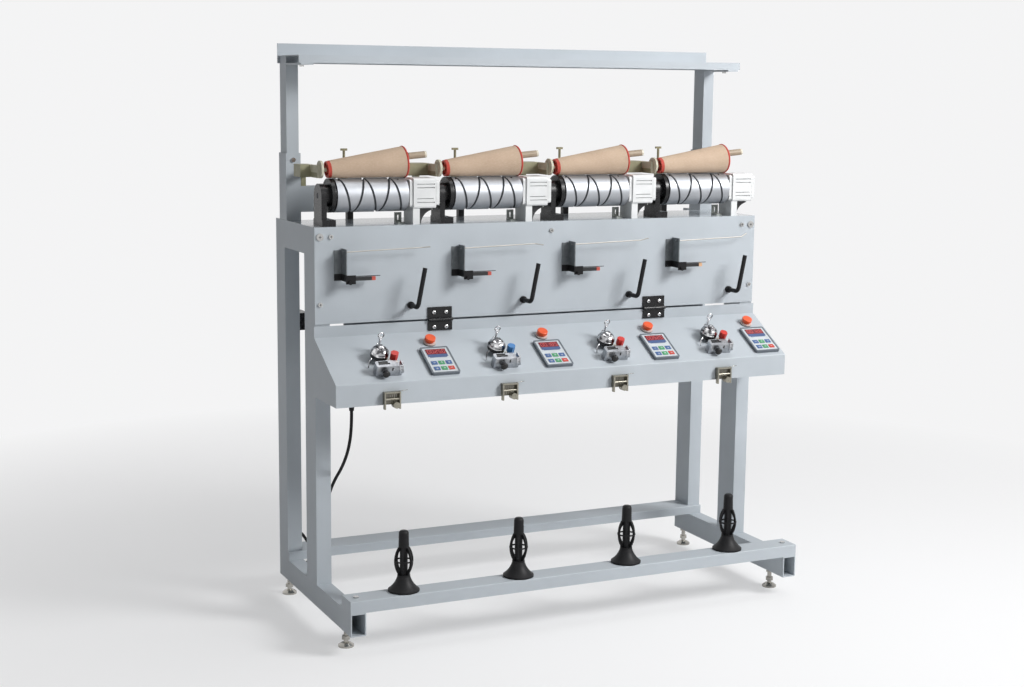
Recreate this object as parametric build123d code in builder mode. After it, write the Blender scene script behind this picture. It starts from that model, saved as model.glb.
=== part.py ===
"""Yarn cone winder with four heads, on a free-standing frame.

Millimetres.  X runs along the machine, Y from its front to its back, Z up from the
floor.  The origin lies on the floor, under the middle of the base.
"""

import os
from math import atan2, cos, degrees, pi, radians, sin, sqrt, tan

from build123d import *

os.makedirs("parts", exist_ok=True)

# ---------------------------------------------------------------- driving sizes
machine_width = 1116.0
machine_depth = 500.0
sheet = 2.0
tube_wall = 2.5
running_gap = 0.05
seat_gap = 0.3

# base
foot_clearance = 46.0
foot_height = 50.0
foot_width = 34.0
front_rail_depth = 58.0
front_rail_height = 27.0
rear_rail_depth = 72.0
rear_rail_height = 21.0

# side frames
upright_depth = 70.0
rear_upright_depth = 64.0
panel_plane = -26.0
side_rail_height = 62.0
frame_top = 888.0

# upper posts and shelf
post_width = 28.0
post_depth = 46.0
socket_wall = 3.0
socket_height = 150.0
post_front = 172.0
shelf_underside = 1236.0
shelf_plate_rise = 15.0
shelf_front = 62.0
upstand_height = 44.0
arm_thickness = 4.0

# levelling feet
leveller_inset_front = 80.0
leveller_inset_rear = 18.0
pad_radius = 17.0
stud_radius = 5.0

# winding heads
head_count = 4
head_pitch = 275.0
drum_radius = 37.0
drum_length = 164.0
drum_start = -90.0
drum_y = 13.0
drum_z = 953.0
groove_turns = 2.5
groove_margin = 8.0
groove_width = 5.0
groove_depth = 3.0
groove_lag = 9.0
shaft_radius = 6.0

cone_length = 174.0
cone_nose_radius = 19.0
cone_half_angle = 5.0
cone_wall = 2.5
nose_start = -98.0
spindle_radius = 4.0

beam_height = 58.0
beam_depth = 30.0
beam_z = 906.0
pivot_y = 189.0
pivot_z = 1000.0
pivot_radius = 5.0

# panel
panel_bottom = 678.0
deck_depth = 201.0
lever_x = 75.0
lever_z = 711.0
lever_radius = 5.0
guide_x = -84.0
guide_z = 835.0
feeler_z = 777.0

# control lid
lid_width = 1122.0
lid_rear_z = 651.0
lid_front_y = -172.0
lid_front_z = 569.0
lid_bottom_z = 521.0
lid_strip_top = 674.0
hinge_z = 676.0
hinge_width = 58.0
hinge_leaf_height = 28.0
knuckle_radius = 4.0
hinge_spacing = 548.0
hinge_middle = 6.0

# what stands on the lid, measured down the slope from its rear edge
button_x = 105.0
button_slope = 42.0
button_radius = 12.0
button_stem_radius = 9.0
button_travel = 4.0
counter_x = 105.0
counter_slope = 110.0
counter_width = 66.0
counter_length = 90.0
counter_rise = 7.0
tensioner_x = -30.0
tensioner_slope = 90.0
knob_x = -6.0
knob_slope = 112.0
clearer_x = -24.0
clearer_slope = 136.0
lip_guide_x = -26.0
lip_guide_size = 37.0

# supply pegs
peg_pitch = 271.0
peg_middle = -20.0
peg_y = -216.0
peg_height = 133.0
peg_base_radius = 34.0
peg_stem_radius = 11.5

# mains cord
cord_diameter = 7.0
coil_centre = (-466.0, 326.0)
coil_radius = 43.0
coil_step = 7.5

# ---------------------------------------------------------------- worked-out places
half_width = machine_width / 2
half_depth = machine_depth / 2
foot_top = foot_clearance + foot_height
side_inner = half_width - foot_width
panel_front = panel_plane - sheet
deck_rear = panel_front + deck_depth
socket_outer = half_width
post_outer = socket_outer - socket_wall
head_places = [(i - (head_count - 1) / 2) * head_pitch for i in range(head_count)]
peg_places = [peg_middle + (i - (head_count - 1) / 2) * peg_pitch for i in range(head_count)]
leveller_ys = (-half_depth + leveller_inset_front, half_depth - leveller_inset_rear)
lid_angle = atan2(lid_rear_z - lid_front_z, panel_front - lid_front_y)
lid_plane = Plane(
    origin=(0, panel_front, lid_rear_z),
    x_dir=(1, 0, 0),
    z_dir=(0, -sin(lid_angle), cos(lid_angle)),
)
tilt = radians(cone_half_angle)
contact_z = drum_z + drum_radius + seat_gap
spindle_origin = (nose_start, drum_y, contact_z + cone_nose_radius * cos(tilt))
spindle_plane = Plane(origin=spindle_origin, x_dir=(cos(tilt), 0, sin(tilt)), z_dir=(0, -1, 0))
spindle_axis = Axis(spindle_origin, (cos(tilt), 0, sin(tilt)))
cone_base_radius = cone_nose_radius + cone_length * tan(tilt)


def save(part, label):
    """Name a finished piece and write it out."""
    part.label = label
    export_step(part, f"parts/{label}.step")


def along_x(x, y, z):
    """A plane whose normal runs along +X, with its own x along +Y."""
    return Plane(origin=(x, y, z), x_dir=(0, 1, 0), z_dir=(1, 0, 0))


def towards_front(x, y, z):
    """A plane whose normal runs towards the front, with its own x along +X."""
    return Plane(origin=(x, y, z), x_dir=(1, 0, 0), z_dir=(0, -1, 0))


def flat(z, x=0.0, y=0.0):
    """A level plane at height z."""
    return Plane(origin=(x, y, z), x_dir=(1, 0, 0), z_dir=(0, 0, 1))


def on_lid(x, slope, rise=0.0):
    """A plane on the control lid's slope, x along the machine."""
    return Plane(
        origin=lid_plane.from_local_coords((x, -slope, rise)),
        x_dir=lid_plane.x_dir,
        z_dir=lid_plane.z_dir,
    )


def block(x0, x1, y0, y1, z0, z1, mode=Mode.ADD):
    """A box between two corners, in the block that is open."""
    middle = ((x0 + x1) / 2, (y0 + y1) / 2, (z0 + z1) / 2)
    with Locations(middle):
        Box(x1 - x0, y1 - y0, z1 - z0, mode=mode)


def repeat_along(piece, places):
    """Copies of one piece at several places along X, as one group."""
    with BuildPart() as group:
        with Locations(*[(x, 0, 0) for x in places]):
            add(piece)
    return group.part


# ---------------------------------------------------------------- frame


def side_frame(side):
    """One welded side: foot, two uprights, top rail and the socket of the upper post."""
    outer = side * half_width
    inner = side * side_inner
    x0, x1 = min(outer, inner), max(outer, inner)
    front_y1 = panel_plane + upright_depth
    rear_y0 = half_depth - rear_upright_depth
    rear_z0 = foot_top + rear_rail_height
    hollow0, hollow1 = x0 + tube_wall, x1 - tube_wall
    socket_inner = side * (half_width - post_width - 2 * socket_wall)
    s0, s1 = min(outer, socket_inner), max(outer, socket_inner)
    with BuildPart() as frame:
        block(x0, x1, -half_depth, half_depth, foot_clearance, foot_top)
        block(x0, x1, panel_plane, front_y1, foot_top, frame_top)
        block(x0, x1, rear_y0, half_depth, rear_z0, frame_top)
        block(x0, x1, front_y1, rear_y0, frame_top - side_rail_height, frame_top)
        block(
            s0, s1, post_front - socket_wall, post_front + post_depth + socket_wall,
            frame_top, frame_top + socket_height,
        )
        # the foot is an open tube at its front end, and the front upright opens into it
        block(
            hollow0, hollow1, -half_depth, half_depth - tube_wall,
            foot_clearance + tube_wall, foot_top - tube_wall, mode=Mode.SUBTRACT,
        )
        block(
            hollow0, hollow1, panel_plane + tube_wall, front_y1 - tube_wall,
            foot_top - 2 * tube_wall, frame_top - tube_wall, mode=Mode.SUBTRACT,
        )
        block(
            s0 + socket_wall, s1 - socket_wall, post_front, post_front + post_depth,
            frame_top, frame_top + socket_height, mode=Mode.SUBTRACT,
        )
        block(
            hollow0, hollow1, rear_y0 + tube_wall, half_depth - tube_wall,
            rear_z0, frame_top - tube_wall, mode=Mode.SUBTRACT,
        )
        for y in leveller_ys:
            with Locations((side * (half_width - foot_width / 2), y, foot_clearance)):
                Cylinder(stud_radius, 3 * tube_wall, mode=Mode.SUBTRACT)
    return frame.part


save(side_frame(-1), "left_side_frame")
save(side_frame(1), "right_side_frame")


def channel_rail(y0, y1, z0, height):
    """An inverted channel with closed ends, as wide as the machine."""
    with BuildPart() as rail:
        block(-half_width, half_width, y0, y1, z0, z0 + height)
        block(
            -half_width + tube_wall, half_width - tube_wall, y0 + tube_wall, y1 - tube_wall,
            z0, z0 + height - tube_wall, mode=Mode.SUBTRACT,
        )
        fillet(rail.edges().filter_by(Axis.X).group_by(Axis.Z)[-1], 2.0)
    return rail.part


save(channel_rail(-half_depth, -half_depth + front_rail_depth, foot_top, front_rail_height), "front_rail")
save(channel_rail(half_depth - rear_rail_depth, half_depth, foot_top, rear_rail_height), "rear_rail")

with BuildPart() as rear_beam:
    beam_half = half_width - post_width - 2 * socket_wall
    beam_middle = (0, post_front + beam_depth / 2, beam_z + beam_height / 2)
    with BuildSketch(along_x(-beam_half, beam_middle[1], beam_middle[2])):
        Rectangle(beam_depth, beam_height)
        Rectangle(beam_depth - 2 * tube_wall, beam_height - 2 * tube_wall, mode=Mode.SUBTRACT)
    extrude(amount=2 * beam_half)
save(rear_beam.part, "rear_beam")


def upper_post(side):
    """A post that slides into its socket, with the arm that carries the shelf's front."""
    outer = side * (post_outer - running_gap)
    inner = side * (post_outer - post_width + running_gap)
    x0, x1 = min(outer, inner), max(outer, inner)
    y0, y1 = post_front + running_gap, post_front + post_depth - running_gap
    plate_z = shelf_underside + shelf_plate_rise
    with BuildPart() as post:
        block(x0, x1, y0, y1, frame_top + sheet, plate_z)
        block(
            x0 + tube_wall, x1 - tube_wall, y0 + tube_wall, y1 - tube_wall,
            frame_top + sheet, plate_z - tube_wall, mode=Mode.SUBTRACT,
        )
        block(x0, x1, shelf_front, y0, shelf_underside - arm_thickness, shelf_underside)
    return post.part


save(upper_post(-1), "left_upper_post")
save(upper_post(1), "right_upper_post")

with BuildPart() as top_shelf:
    shelf_rear = post_front + post_depth
    plate_z = shelf_underside + shelf_plate_rise
    block(-half_width - sheet, half_width + sheet, shelf_front, shelf_rear, plate_z, plate_z + sheet)
    block(
        -half_width - sheet, half_width + sheet, shelf_front, shelf_front + sheet,
        shelf_underside, plate_z,
    )
    block(
        -half_width - sheet, half_width + sheet, shelf_rear, shelf_rear + sheet,
        shelf_underside, shelf_underside + upstand_height,
    )
save(top_shelf.part, "top_shelf")

with BuildPart() as leveller:
    with BuildSketch(Plane.XZ):
        with BuildLine():
            Polyline(
                (0, 0), (pad_radius, 0), (pad_radius, 4), (pad_radius * 0.6, 9),
                (stud_radius, 10), (stud_radius, foot_clearance + 12), (0, foot_clearance + 12), (0, 0),
            )
        make_face()
    revolve(axis=Axis.Z)
    with BuildSketch(flat(foot_clearance - 9)):
        RegularPolygon(9.5, 6)
    extrude(amount=9)
    with BuildSketch(flat(16)):
        RegularPolygon(9.5, 6)
    extrude(amount=8)
with BuildPart() as levelling_feet:
    leveller_x = half_width - foot_width / 2
    with Locations(*[(s * leveller_x, y, 0) for s in (-1, 1) for y in leveller_ys]):
        add(leveller.part)
save(levelling_feet.part, "levelling_feet")

# ---------------------------------------------------------------- supply pegs

peg_foot = foot_top + front_rail_height
rib_low, rib_high = 36.0, 96.0
rib_middle = (rib_low + rib_high) / 2
rib_bulge = 21.5
rib_root = 11.0
rib_thickness = 3.6
core_radius = 8.5

with BuildPart() as peg:
    with BuildSketch(Plane.XZ):
        with BuildLine():
            Line((0, 0), (peg_base_radius, 0))
            Line((peg_base_radius, 0), (peg_base_radius, 4))
            ThreePointArc((peg_base_radius, 4), (peg_base_radius * 0.62, 17), (14, 32))
            Line((14, 32), (14, rib_low))
            Line((14, rib_low), (core_radius, rib_low))
            Line((core_radius, rib_low), (core_radius, rib_high))
            Line((core_radius, rib_high), (peg_stem_radius, rib_high))
            Line((peg_stem_radius, rib_high), (peg_stem_radius - 1, peg_height))
            Line((peg_stem_radius - 1, peg_height), (0, peg_height))
            Line((0, peg_height), (0, 0))
        make_face()
    revolve(axis=Axis.Z)
    fillet(peg.edges().filter_by(GeomType.CIRCLE).sort_by(Axis.Z)[-1], peg_stem_radius * 0.55)
    # one rib is a bowed strap, and six of them make the cage
    with BuildSketch(Plane.XZ.offset(-rib_thickness / 2)):
        with BuildLine():
            ThreePointArc((rib_root, rib_low - 2), (rib_bulge, rib_middle), (rib_root, rib_high + 2))
            Line((rib_root, rib_high + 2), (6, rib_high + 2))
            Line((6, rib_high + 2), (6, rib_high - 4))
            ThreePointArc((6, rib_high - 4), (rib_bulge - 4, rib_middle), (6, rib_low + 4))
            Line((6, rib_low + 4), (6, rib_low - 2))
            Line((6, rib_low - 2), (rib_root, rib_low - 2))
        make_face()
    rib = extrude(amount=rib_thickness, mode=Mode.PRIVATE)
    with PolarLocations(0, 6):
        add(rib)
    with BuildSketch(Plane.XZ):
        with Locations((rib_bulge - 2, rib_middle)):
            Rectangle(2.4, 3)
    revolve(axis=Axis.Z)
with BuildPart() as supply_pegs:
    with Locations(*[(x, peg_y, peg_foot) for x in peg_places]):
        add(peg.part)
save(supply_pegs.part, "supply_pegs")

# ---------------------------------------------------------------- panel and deck

with BuildPart() as upper_panel:
    block(-half_width, half_width, panel_front, panel_plane, panel_bottom, frame_top)
    block(
        -side_inner + seat_gap, side_inner - seat_gap, panel_plane, deck_rear,
        frame_top - sheet, frame_top,
    )
    with Locations(*[towards_front(x + lever_x, panel_plane, lever_z).location for x in head_places]):
        Cylinder(lever_radius + running_gap, 3 * sheet, mode=Mode.SUBTRACT)
save(upper_panel.part, "upper_panel")

# ---------------------------------------------------------------- drum, housing, motor

with BuildPart() as drum:
    with BuildSketch(along_x(drum_start, drum_y, drum_z)):
        Circle(drum_radius)
        Circle(shaft_radius + running_gap, mode=Mode.SUBTRACT)
    extrude(amount=drum_length)
    # Two opposite helices cross along the drum, each cut in half turns.  The return one
    # starts a few degrees on and is a little deeper, as a real drum's grooves are.
    groove_length = drum_length - 2 * groove_margin
    half_turns = round(2 * groove_turns)
    stretch = groove_length / half_turns
    for hand, lag, depth in ((1, 0.0, groove_depth), (-1, groove_lag, groove_depth + 0.4)):
        for index in range(half_turns):
            route = Helix(
                pitch=groove_length / groove_turns,
                height=stretch,
                radius=drum_radius,
                center=(drum_start + groove_margin + index * stretch, drum_y, drum_z),
                direction=(1, 0, 0),
                lefthand=hand < 0,
            )
            turned = lag + hand * index * 360 * groove_turns / half_turns
            route = route.rotate(Axis((0, drum_y, drum_z), (1, 0, 0)), turned)
            start = route @ 0
            outward = Vector(0, start.Y - drum_y, start.Z - drum_z)
            with BuildSketch(Plane(origin=start, x_dir=outward, z_dir=route % 0)):
                with BuildLine():
                    Polyline(
                        (-depth, -0.3 * groove_width), (depth, -0.7 * groove_width),
                        (depth, 0.7 * groove_width), (-depth, 0.3 * groove_width),
                        (-depth, -0.3 * groove_width),
                    )
                make_face()
            sweep(path=route, is_frenet=True, mode=Mode.SUBTRACT)

housing_start = drum_start - 34.0
housing_plate = 12.0
with BuildPart() as drum_housing:
    block(
        housing_start, housing_start + housing_plate, drum_y - 26, drum_y + 26,
        frame_top, drum_z,
    )
    block(
        housing_start, drum_start - 3, drum_y - 30, drum_y + 30, frame_top, frame_top + 14,
    )
    with BuildSketch(along_x(housing_start, drum_y, drum_z)):
        Circle(26)
    extrude(amount=housing_plate)
    with BuildSketch(along_x(housing_start + housing_plate, drum_y, drum_z)):
        Circle(24)
    extrude(amount=drum_start - 2 - 10 - housing_start - housing_plate)
    with BuildSketch(along_x(drum_start - 12, drum_y, drum_z)):
        Circle(drum_radius)
    extrude(amount=10)
    fillet(drum_housing.faces().sort_by(Axis.X)[-1].outer_wire().edges(), 2.5)
    with BuildSketch(along_x(housing_start, drum_y, drum_z)):
        Circle(shaft_radius + running_gap)
    extrude(amount=-drum_start, mode=Mode.SUBTRACT)
save(repeat_along(drum_housing.part, head_places), "drum_housings")

motor_start = drum_start + drum_length + 4.0
motor_length = 69.0
motor_half = 33.0
with BuildPart() as motor:
    with BuildSketch(along_x(motor_start, drum_y, drum_z + 3)):
        RectangleRounded(2 * motor_half - 6, 2 * motor_half - 6, 6)
    extrude(amount=8)
    with BuildSketch(along_x(motor_start + 8, drum_y, drum_z + 3)):
        RectangleRounded(2 * motor_half, 2 * motor_half, 5)
    extrude(amount=motor_length - 16)
    with BuildSketch(along_x(motor_start + motor_length - 8, drum_y, drum_z + 3)):
        RectangleRounded(2 * motor_half + 1, 2 * motor_half - 12, 5)
    extrude(amount=8)
    # cooling grooves run along the front, the back and the top
    for rise in (-20, -12, 12, 20):
        for side in (-1, 1):
            block(
                motor_start + 16, motor_start + motor_length - 14,
                drum_y + side * motor_half - 1.5, drum_y + side * motor_half + 1.5,
                drum_z + 3 + rise - 1, drum_z + 3 + rise + 1, mode=Mode.SUBTRACT,
            )
    with BuildSketch(along_x(motor_start, drum_y, drum_z)):
        Circle(shaft_radius + running_gap)
    extrude(amount=16, mode=Mode.SUBTRACT)
save(repeat_along(motor.part, head_places), "drum_motors")

motor_under = drum_z + 3 - motor_half
with BuildPart() as motor_mount:
    # white foot, black gusset and slotted steel plate: three pieces side by side
    block(motor_start + 8, motor_start + 24, drum_y - 28, drum_y + 28, frame_top, motor_under)
    with BuildSketch(towards_front(0, drum_y + 10, 0)):
        with BuildLine():
            Line((motor_start + 26, frame_top), (motor_start + 34, frame_top))
            ThreePointArc(
                (motor_start + 34, frame_top),
                (motor_start + 42, motor_under - 16),
                (motor_start + 62, motor_under - 5),
            )
            Line((motor_start + 62, motor_under - 5), (motor_start + 62, motor_under))
            Line((motor_start + 62, motor_under), (motor_start + 26, motor_under))
            Line((motor_start + 26, motor_under), (motor_start + 26, frame_top))
        make_face()
    extrude(amount=20)
    block(motor_start - 18, motor_start - 2, drum_y + 16, drum_y + 20, frame_top, frame_top + 24)
    block(
        motor_start - 12, motor_start - 8, drum_y + 15, drum_y + 21, frame_top + 7, frame_top + 18,
        mode=Mode.SUBTRACT,
    )
    block(motor_start - 18, motor_start - 2, drum_y - 4, drum_y + 16, frame_top, frame_top + 3)
save(repeat_along(motor_mount.part, head_places), "motor_mounts")

with BuildPart() as drum_shaft:
    with BuildSketch(along_x(housing_start + 1, drum_y, drum_z)):
        Circle(shaft_radius)
    extrude(amount=motor_start + 15 - housing_start - 1)
for index, x in enumerate(head_places):
    with BuildPart() as winding_drum:
        with Locations((x, 0, 0)):
            add(drum.part)
            add(drum_shaft.part)
    save(winding_drum.part, f"drum_{index + 1}")

# ---------------------------------------------------------------- cone and mandrel

rim_radius = cone_base_radius + 1.0
spoke_width = 3.0
with BuildPart() as paper_cone:
    with BuildSketch(spindle_plane):
        with BuildLine():
            Polyline(
                (running_gap, cone_nose_radius - cone_wall), (running_gap, cone_nose_radius),
                (cone_length - 4 - running_gap, cone_base_radius - 4 * tan(tilt)),
                (cone_length - 4 - running_gap, cone_base_radius - 4 * tan(tilt) - cone_wall),
                (running_gap, cone_nose_radius - cone_wall),
            )
        make_face()
    revolve(axis=spindle_axis)
with BuildPart() as mandrel:
    with BuildSketch(spindle_plane):
        # hub, nose ring and base rim in one section
        with Locations((cone_length / 2 - 3, spindle_radius + running_gap + 1.5)):
            Rectangle(cone_length + 6, 3)
        with BuildLine():
            Polyline(
                (-6, cone_nose_radius - 5), (-6, cone_nose_radius - 1), (0, cone_nose_radius),
                (0, cone_nose_radius - cone_wall - running_gap),
                (4, cone_nose_radius - cone_wall - running_gap),
                (4, cone_nose_radius - 5), (-6, cone_nose_radius - 5),
            )
        make_face()
        with BuildLine():
            Polyline(
                (cone_length - 4, spindle_radius + 2), (cone_length - 4, rim_radius - 1),
                (cone_length - 2, rim_radius), (cone_length, rim_radius - 1),
                (cone_length, spindle_radius + 2), (cone_length - 4, spindle_radius + 2),
            )
        make_face()
    revolve(axis=spindle_axis)
    spoke_plane = Plane(
        origin=Vector(*spindle_origin) - 4 * spindle_axis.direction,
        x_dir=(0, 1, 0),
        z_dir=spindle_axis.direction,
    )
    with BuildSketch(spoke_plane):
        with PolarLocations(0, 4):
            with Locations(((spindle_radius + cone_nose_radius - 3) / 2 + 1.0, 0)):
                Rectangle(cone_nose_radius - spindle_radius - 4.5, spoke_width)
    extrude(amount=5)
for index, x in enumerate(head_places):
    with BuildPart() as cone:
        with Locations((x, 0, 0)):
            add(paper_cone.part)
            add(mandrel.part)
    save(cone.part, f"cone_{index + 1}")

# ---------------------------------------------------------------- cradle

flange_x = nose_start - 22.0
flange_thickness = 5.0
flange_radius = 19.0
block_z = (991.0, 1018.0)
block_y = (52.0, 98.0)
end_block_length = 30.0
inner_block_length = 62.0
boss_start = -95.5
boss_length = 30.0
boss_radius = 11.0
handle_offset = 11.0
handle_radius = 7.5
handle_length = 44.0


def cradle(block_length):
    """Cast arm with its flange, the spindle, and the end bracket with the handle."""
    end_x = cone_length + 1.0
    with BuildPart() as arm:
        with BuildSketch(along_x(flange_x, drum_y, spindle_origin[2])):
            Circle(flange_radius)
        extrude(amount=flange_thickness)
        # the neck reaches back from the flange to the block
        block(
            flange_x - 6, flange_x + 1, drum_y - 4, block_y[1], block_z[0], block_z[1],
        )
        block(
            flange_x - block_length, flange_x + 1, block_y[0], block_y[1], block_z[0], block_z[1],
        )
        with BuildSketch(flat(block_z[0] + 3)):
            with BuildLine():
                Polyline(
                    (flange_x - 8, block_y[1] - 2), (flange_x + 1, block_y[1] - 12),
                    (boss_start + 18, pivot_y - 6), (boss_start + 18, pivot_y),
                    (boss_start, pivot_y), (boss_start, pivot_y - 22),
                    (flange_x - 8, block_y[1] - 2),
                )
            make_face()
        extrude(amount=14)
        with BuildSketch(along_x(boss_start, pivot_y, pivot_z)):
            Circle(boss_radius)
        extrude(amount=boss_length)
        with BuildSketch(along_x(boss_start, pivot_y, pivot_z)):
            Circle(pivot_radius + running_gap)
        extrude(amount=boss_length, mode=Mode.SUBTRACT)
        # the spindle starts inside the flange and carries the end bracket
        with BuildSketch(spindle_plane):
            with Locations(((end_x + 4 - 20) / 2, spindle_radius / 2)):
                Rectangle(end_x + 4 + 20, spindle_radius)
        revolve(axis=spindle_axis)
        with BuildSketch(spindle_plane):
            with Locations((end_x + 4, handle_offset / 2)):
                Rectangle(8, handle_offset + 18)
        extrude(amount=7, both=True)
        with BuildSketch(spindle_plane):
            with Locations((end_x + 8 + handle_length / 2, handle_offset + handle_radius / 2)):
                Rectangle(handle_length, handle_radius)
        revolve(
            axis=Axis(
                spindle_plane.from_local_coords((0, handle_offset, 0)), spindle_axis.direction
            )
        )
        with BuildSketch(spindle_plane):
            with Locations((end_x + 3, handle_offset + 12)):
                Rectangle(3, 12)
        extrude(amount=1.5, both=True)
    return arm.part


cradles = [cradle(end_block_length)] + [cradle(inner_block_length)] * (head_count - 1)
for index, x in enumerate(head_places):
    with BuildPart() as placed_cradle:
        with Locations((x, 0, 0)):
            add(cradles[index])
    save(placed_cradle.part, f"cradle_{index + 1}")

pedestal_width = 11.0
beam_top = beam_z + beam_height
with BuildPart() as cradle_pivot:
    for start in (boss_start - 12.0, -8.0):
        with BuildSketch(along_x(start, pivot_y, pivot_z)):
            Circle(boss_radius)
            with Locations((-1, (beam_top - pivot_z) / 2)):
                Rectangle(2 * boss_radius - 2, pivot_z - beam_top)
        extrude(amount=pedestal_width)
    with BuildSketch(along_x(boss_start - 12, pivot_y, pivot_z)):
        Circle(pivot_radius)
    extrude(amount=-8 + pedestal_width - boss_start + 12)
    # T-headed pin on the right pedestal
    with BuildSketch(flat(pivot_z, -2.5, pivot_y)):
        Circle(3)
    extrude(amount=44)
    block(-10, 5, pivot_y - 3, pivot_y + 3, pivot_z + 42, pivot_z + 47)
with BuildPart() as beam_post:
    block(-5, 9, deck_rear - 14, deck_rear, frame_top, beam_z)
with BuildPart() as cradle_pivots:
    with Locations(*[(x, 0, 0) for x in head_places]):
        add(cradle_pivot.part)
        add(beam_post.part)
save(cradle_pivots.part, "cradle_pivots")

# ---------------------------------------------------------------- yarn guides and feelers

guide_depth = 34.0
feeler_y = panel_front - 22.0
feeler_pin_x = guide_x + 10.0
rod_y = panel_front - 22.0
with BuildPart() as yarn_guide:
    block(guide_x - 18, guide_x, panel_front - sheet, panel_front, 772, 838)
    block(guide_x - sheet, guide_x, panel_front - guide_depth, panel_front - sheet, 772, 842)
    # lower tab with the feeler's pivot pin
    block(
        guide_x - sheet, guide_x + 20, panel_front - guide_depth, panel_front - guide_depth + sheet,
        feeler_z - 10, feeler_z + 9,
    )
    with BuildSketch(towards_front(feeler_pin_x, panel_front - guide_depth + sheet, feeler_z)):
        Circle(2)
    extrude(amount=-16)
    with BuildSketch(towards_front(feeler_pin_x - 4, panel_front - guide_depth, feeler_z - 7)):
        Circle(4)
    extrude(amount=6)


def guide_rod(bend):
    """A thin rod from the bracket's top hole, its tip bent one way or another."""
    rod_start = (guide_x - 6, rod_y, guide_z)
    bend_point = (guide_x + 178, rod_y, guide_z + 5)
    tip_length = 17.0
    tip = (bend_point[0] + tip_length, rod_y - tip_length * bend[0], bend_point[2] + tip_length * bend[1])
    with BuildPart() as rod:
        with BuildLine() as route:
            FilletPolyline(rod_start, bend_point, tip, radius=6)
        with BuildSketch(Plane(origin=route.line @ 0, z_dir=route.line % 0)):
            Circle(1.25)
        sweep()
    return rod.part


with BuildPart() as yarn_guides:
    bends = [(0.3, 0.1), (0.5, -0.15), (0.2, 0.25), (-0.25, 0.4)]
    for index, x in enumerate(head_places):
        with Locations((x, 0, 0)):
            add(yarn_guide.part)
            add(guide_rod(bends[index % len(bends)]))
save(yarn_guides.part, "yarn_guides")

feeler_length = 58.0
with BuildPart() as feeler:
    feeler_back = feeler_y + 4
    with BuildSketch(towards_front(feeler_pin_x, feeler_back, feeler_z)):
        Circle(4.5)
        with Locations((feeler_length / 2, 0)):
            Rectangle(feeler_length, 8)
        Circle(2 + running_gap, mode=Mode.SUBTRACT)
    extrude(amount=8)
    with BuildSketch(along_x(feeler_pin_x + 6, feeler_back - 4, feeler_z + 5.5)):
        Circle(0.8)
    extrude(amount=feeler_length + 6)
    block(
        feeler_pin_x + 6, feeler_pin_x + 9, feeler_back - 5, feeler_back - 3,
        feeler_z + 3, feeler_z + 6.3,
    )
for index, x in enumerate(head_places):
    with BuildPart() as placed_feeler:
        with Locations((x, 0, 0)):
            add(feeler.part)
    save(placed_feeler.part, f"feeler_{index + 1}")

# ---------------------------------------------------------------- cranked levers

lever_reach = 45.0
lever_height = 88.0
lever_lean = 11.0
lever_tail = 30.0
with BuildPart() as lever:
    lean = radians(lever_lean)
    corner_y = panel_front - lever_reach
    with BuildLine() as lever_route:
        FilletPolyline(
            (lever_x, panel_plane + lever_tail, lever_z),
            (lever_x, corner_y, lever_z),
            (lever_x + lever_height * sin(lean), corner_y, lever_z + lever_height * cos(lean)),
            radius=10,
        )
    with BuildSketch(Plane(origin=lever_route.line @ 0, z_dir=lever_route.line % 0)):
        Circle(lever_radius)
    sweep()
    # retaining collars on both sides of the panel
    for y in (panel_front - seat_gap, panel_plane + seat_gap + 6):
        with BuildSketch(towards_front(lever_x, y, lever_z)):
            Circle(lever_radius + 3)
        extrude(amount=6)
for index, x in enumerate(head_places):
    with BuildPart() as placed_lever:
        with Locations((x, 0, 0)):
            add(lever.part)
    save(placed_lever.part, f"lever_{index + 1}")

# ---------------------------------------------------------------- control lid

lid_half = lid_width / 2
strip_front = panel_front - sheet


def slope_z(y):
    """Height of the lid's outer face at y."""
    return lid_rear_z + (y - panel_front) * tan(lid_angle)


with BuildPart() as control_lid:
    with BuildSketch(along_x(-lid_half, 0, 0)):
        with BuildLine():
            Polyline(
                (panel_front, lid_rear_z), (lid_front_y, lid_front_z), (lid_front_y, lid_bottom_z),
                (panel_front, lid_bottom_z), (panel_front, lid_rear_z),
            )
        make_face()
    extrude(amount=lid_width)
    fold_edges = control_lid.edges().filter_by(Axis.X).group_by(Axis.Y)[0]
    fillet(fold_edges.sort_by(Axis.Z)[-1], 3.0)
    inner_drop = sheet / cos(lid_angle)
    with BuildSketch(along_x(-lid_half + sheet, 0, 0)):
        with BuildLine():
            Polyline(
                (panel_front + 1, slope_z(panel_front + 1) - inner_drop),
                (lid_front_y + sheet, slope_z(lid_front_y + sheet) - inner_drop),
                (lid_front_y + sheet, lid_bottom_z - 1), (panel_front + 1, lid_bottom_z - 1),
                (panel_front + 1, slope_z(panel_front + 1) - inner_drop),
            )
        make_face()
    extrude(amount=lid_width - 2 * sheet, mode=Mode.SUBTRACT)
    block(-lid_half, lid_half, strip_front, panel_front, lid_rear_z - 5, lid_strip_top)
    for x in head_places:
        with BuildSketch(on_lid(x + counter_x, counter_slope)):
            Rectangle(counter_width - 6, counter_length - 6)
        extrude(amount=-2 * sheet, mode=Mode.SUBTRACT)
        with BuildSketch(on_lid(x + button_x, button_slope)):
            Circle(button_stem_radius + 2)
        extrude(amount=-2 * sheet, mode=Mode.SUBTRACT)
        with BuildSketch(on_lid(x + knob_x, knob_slope)):
            Circle(4 + running_gap)
        extrude(amount=-2 * sheet, mode=Mode.SUBTRACT)
save(control_lid.part, "control_lid")

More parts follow.
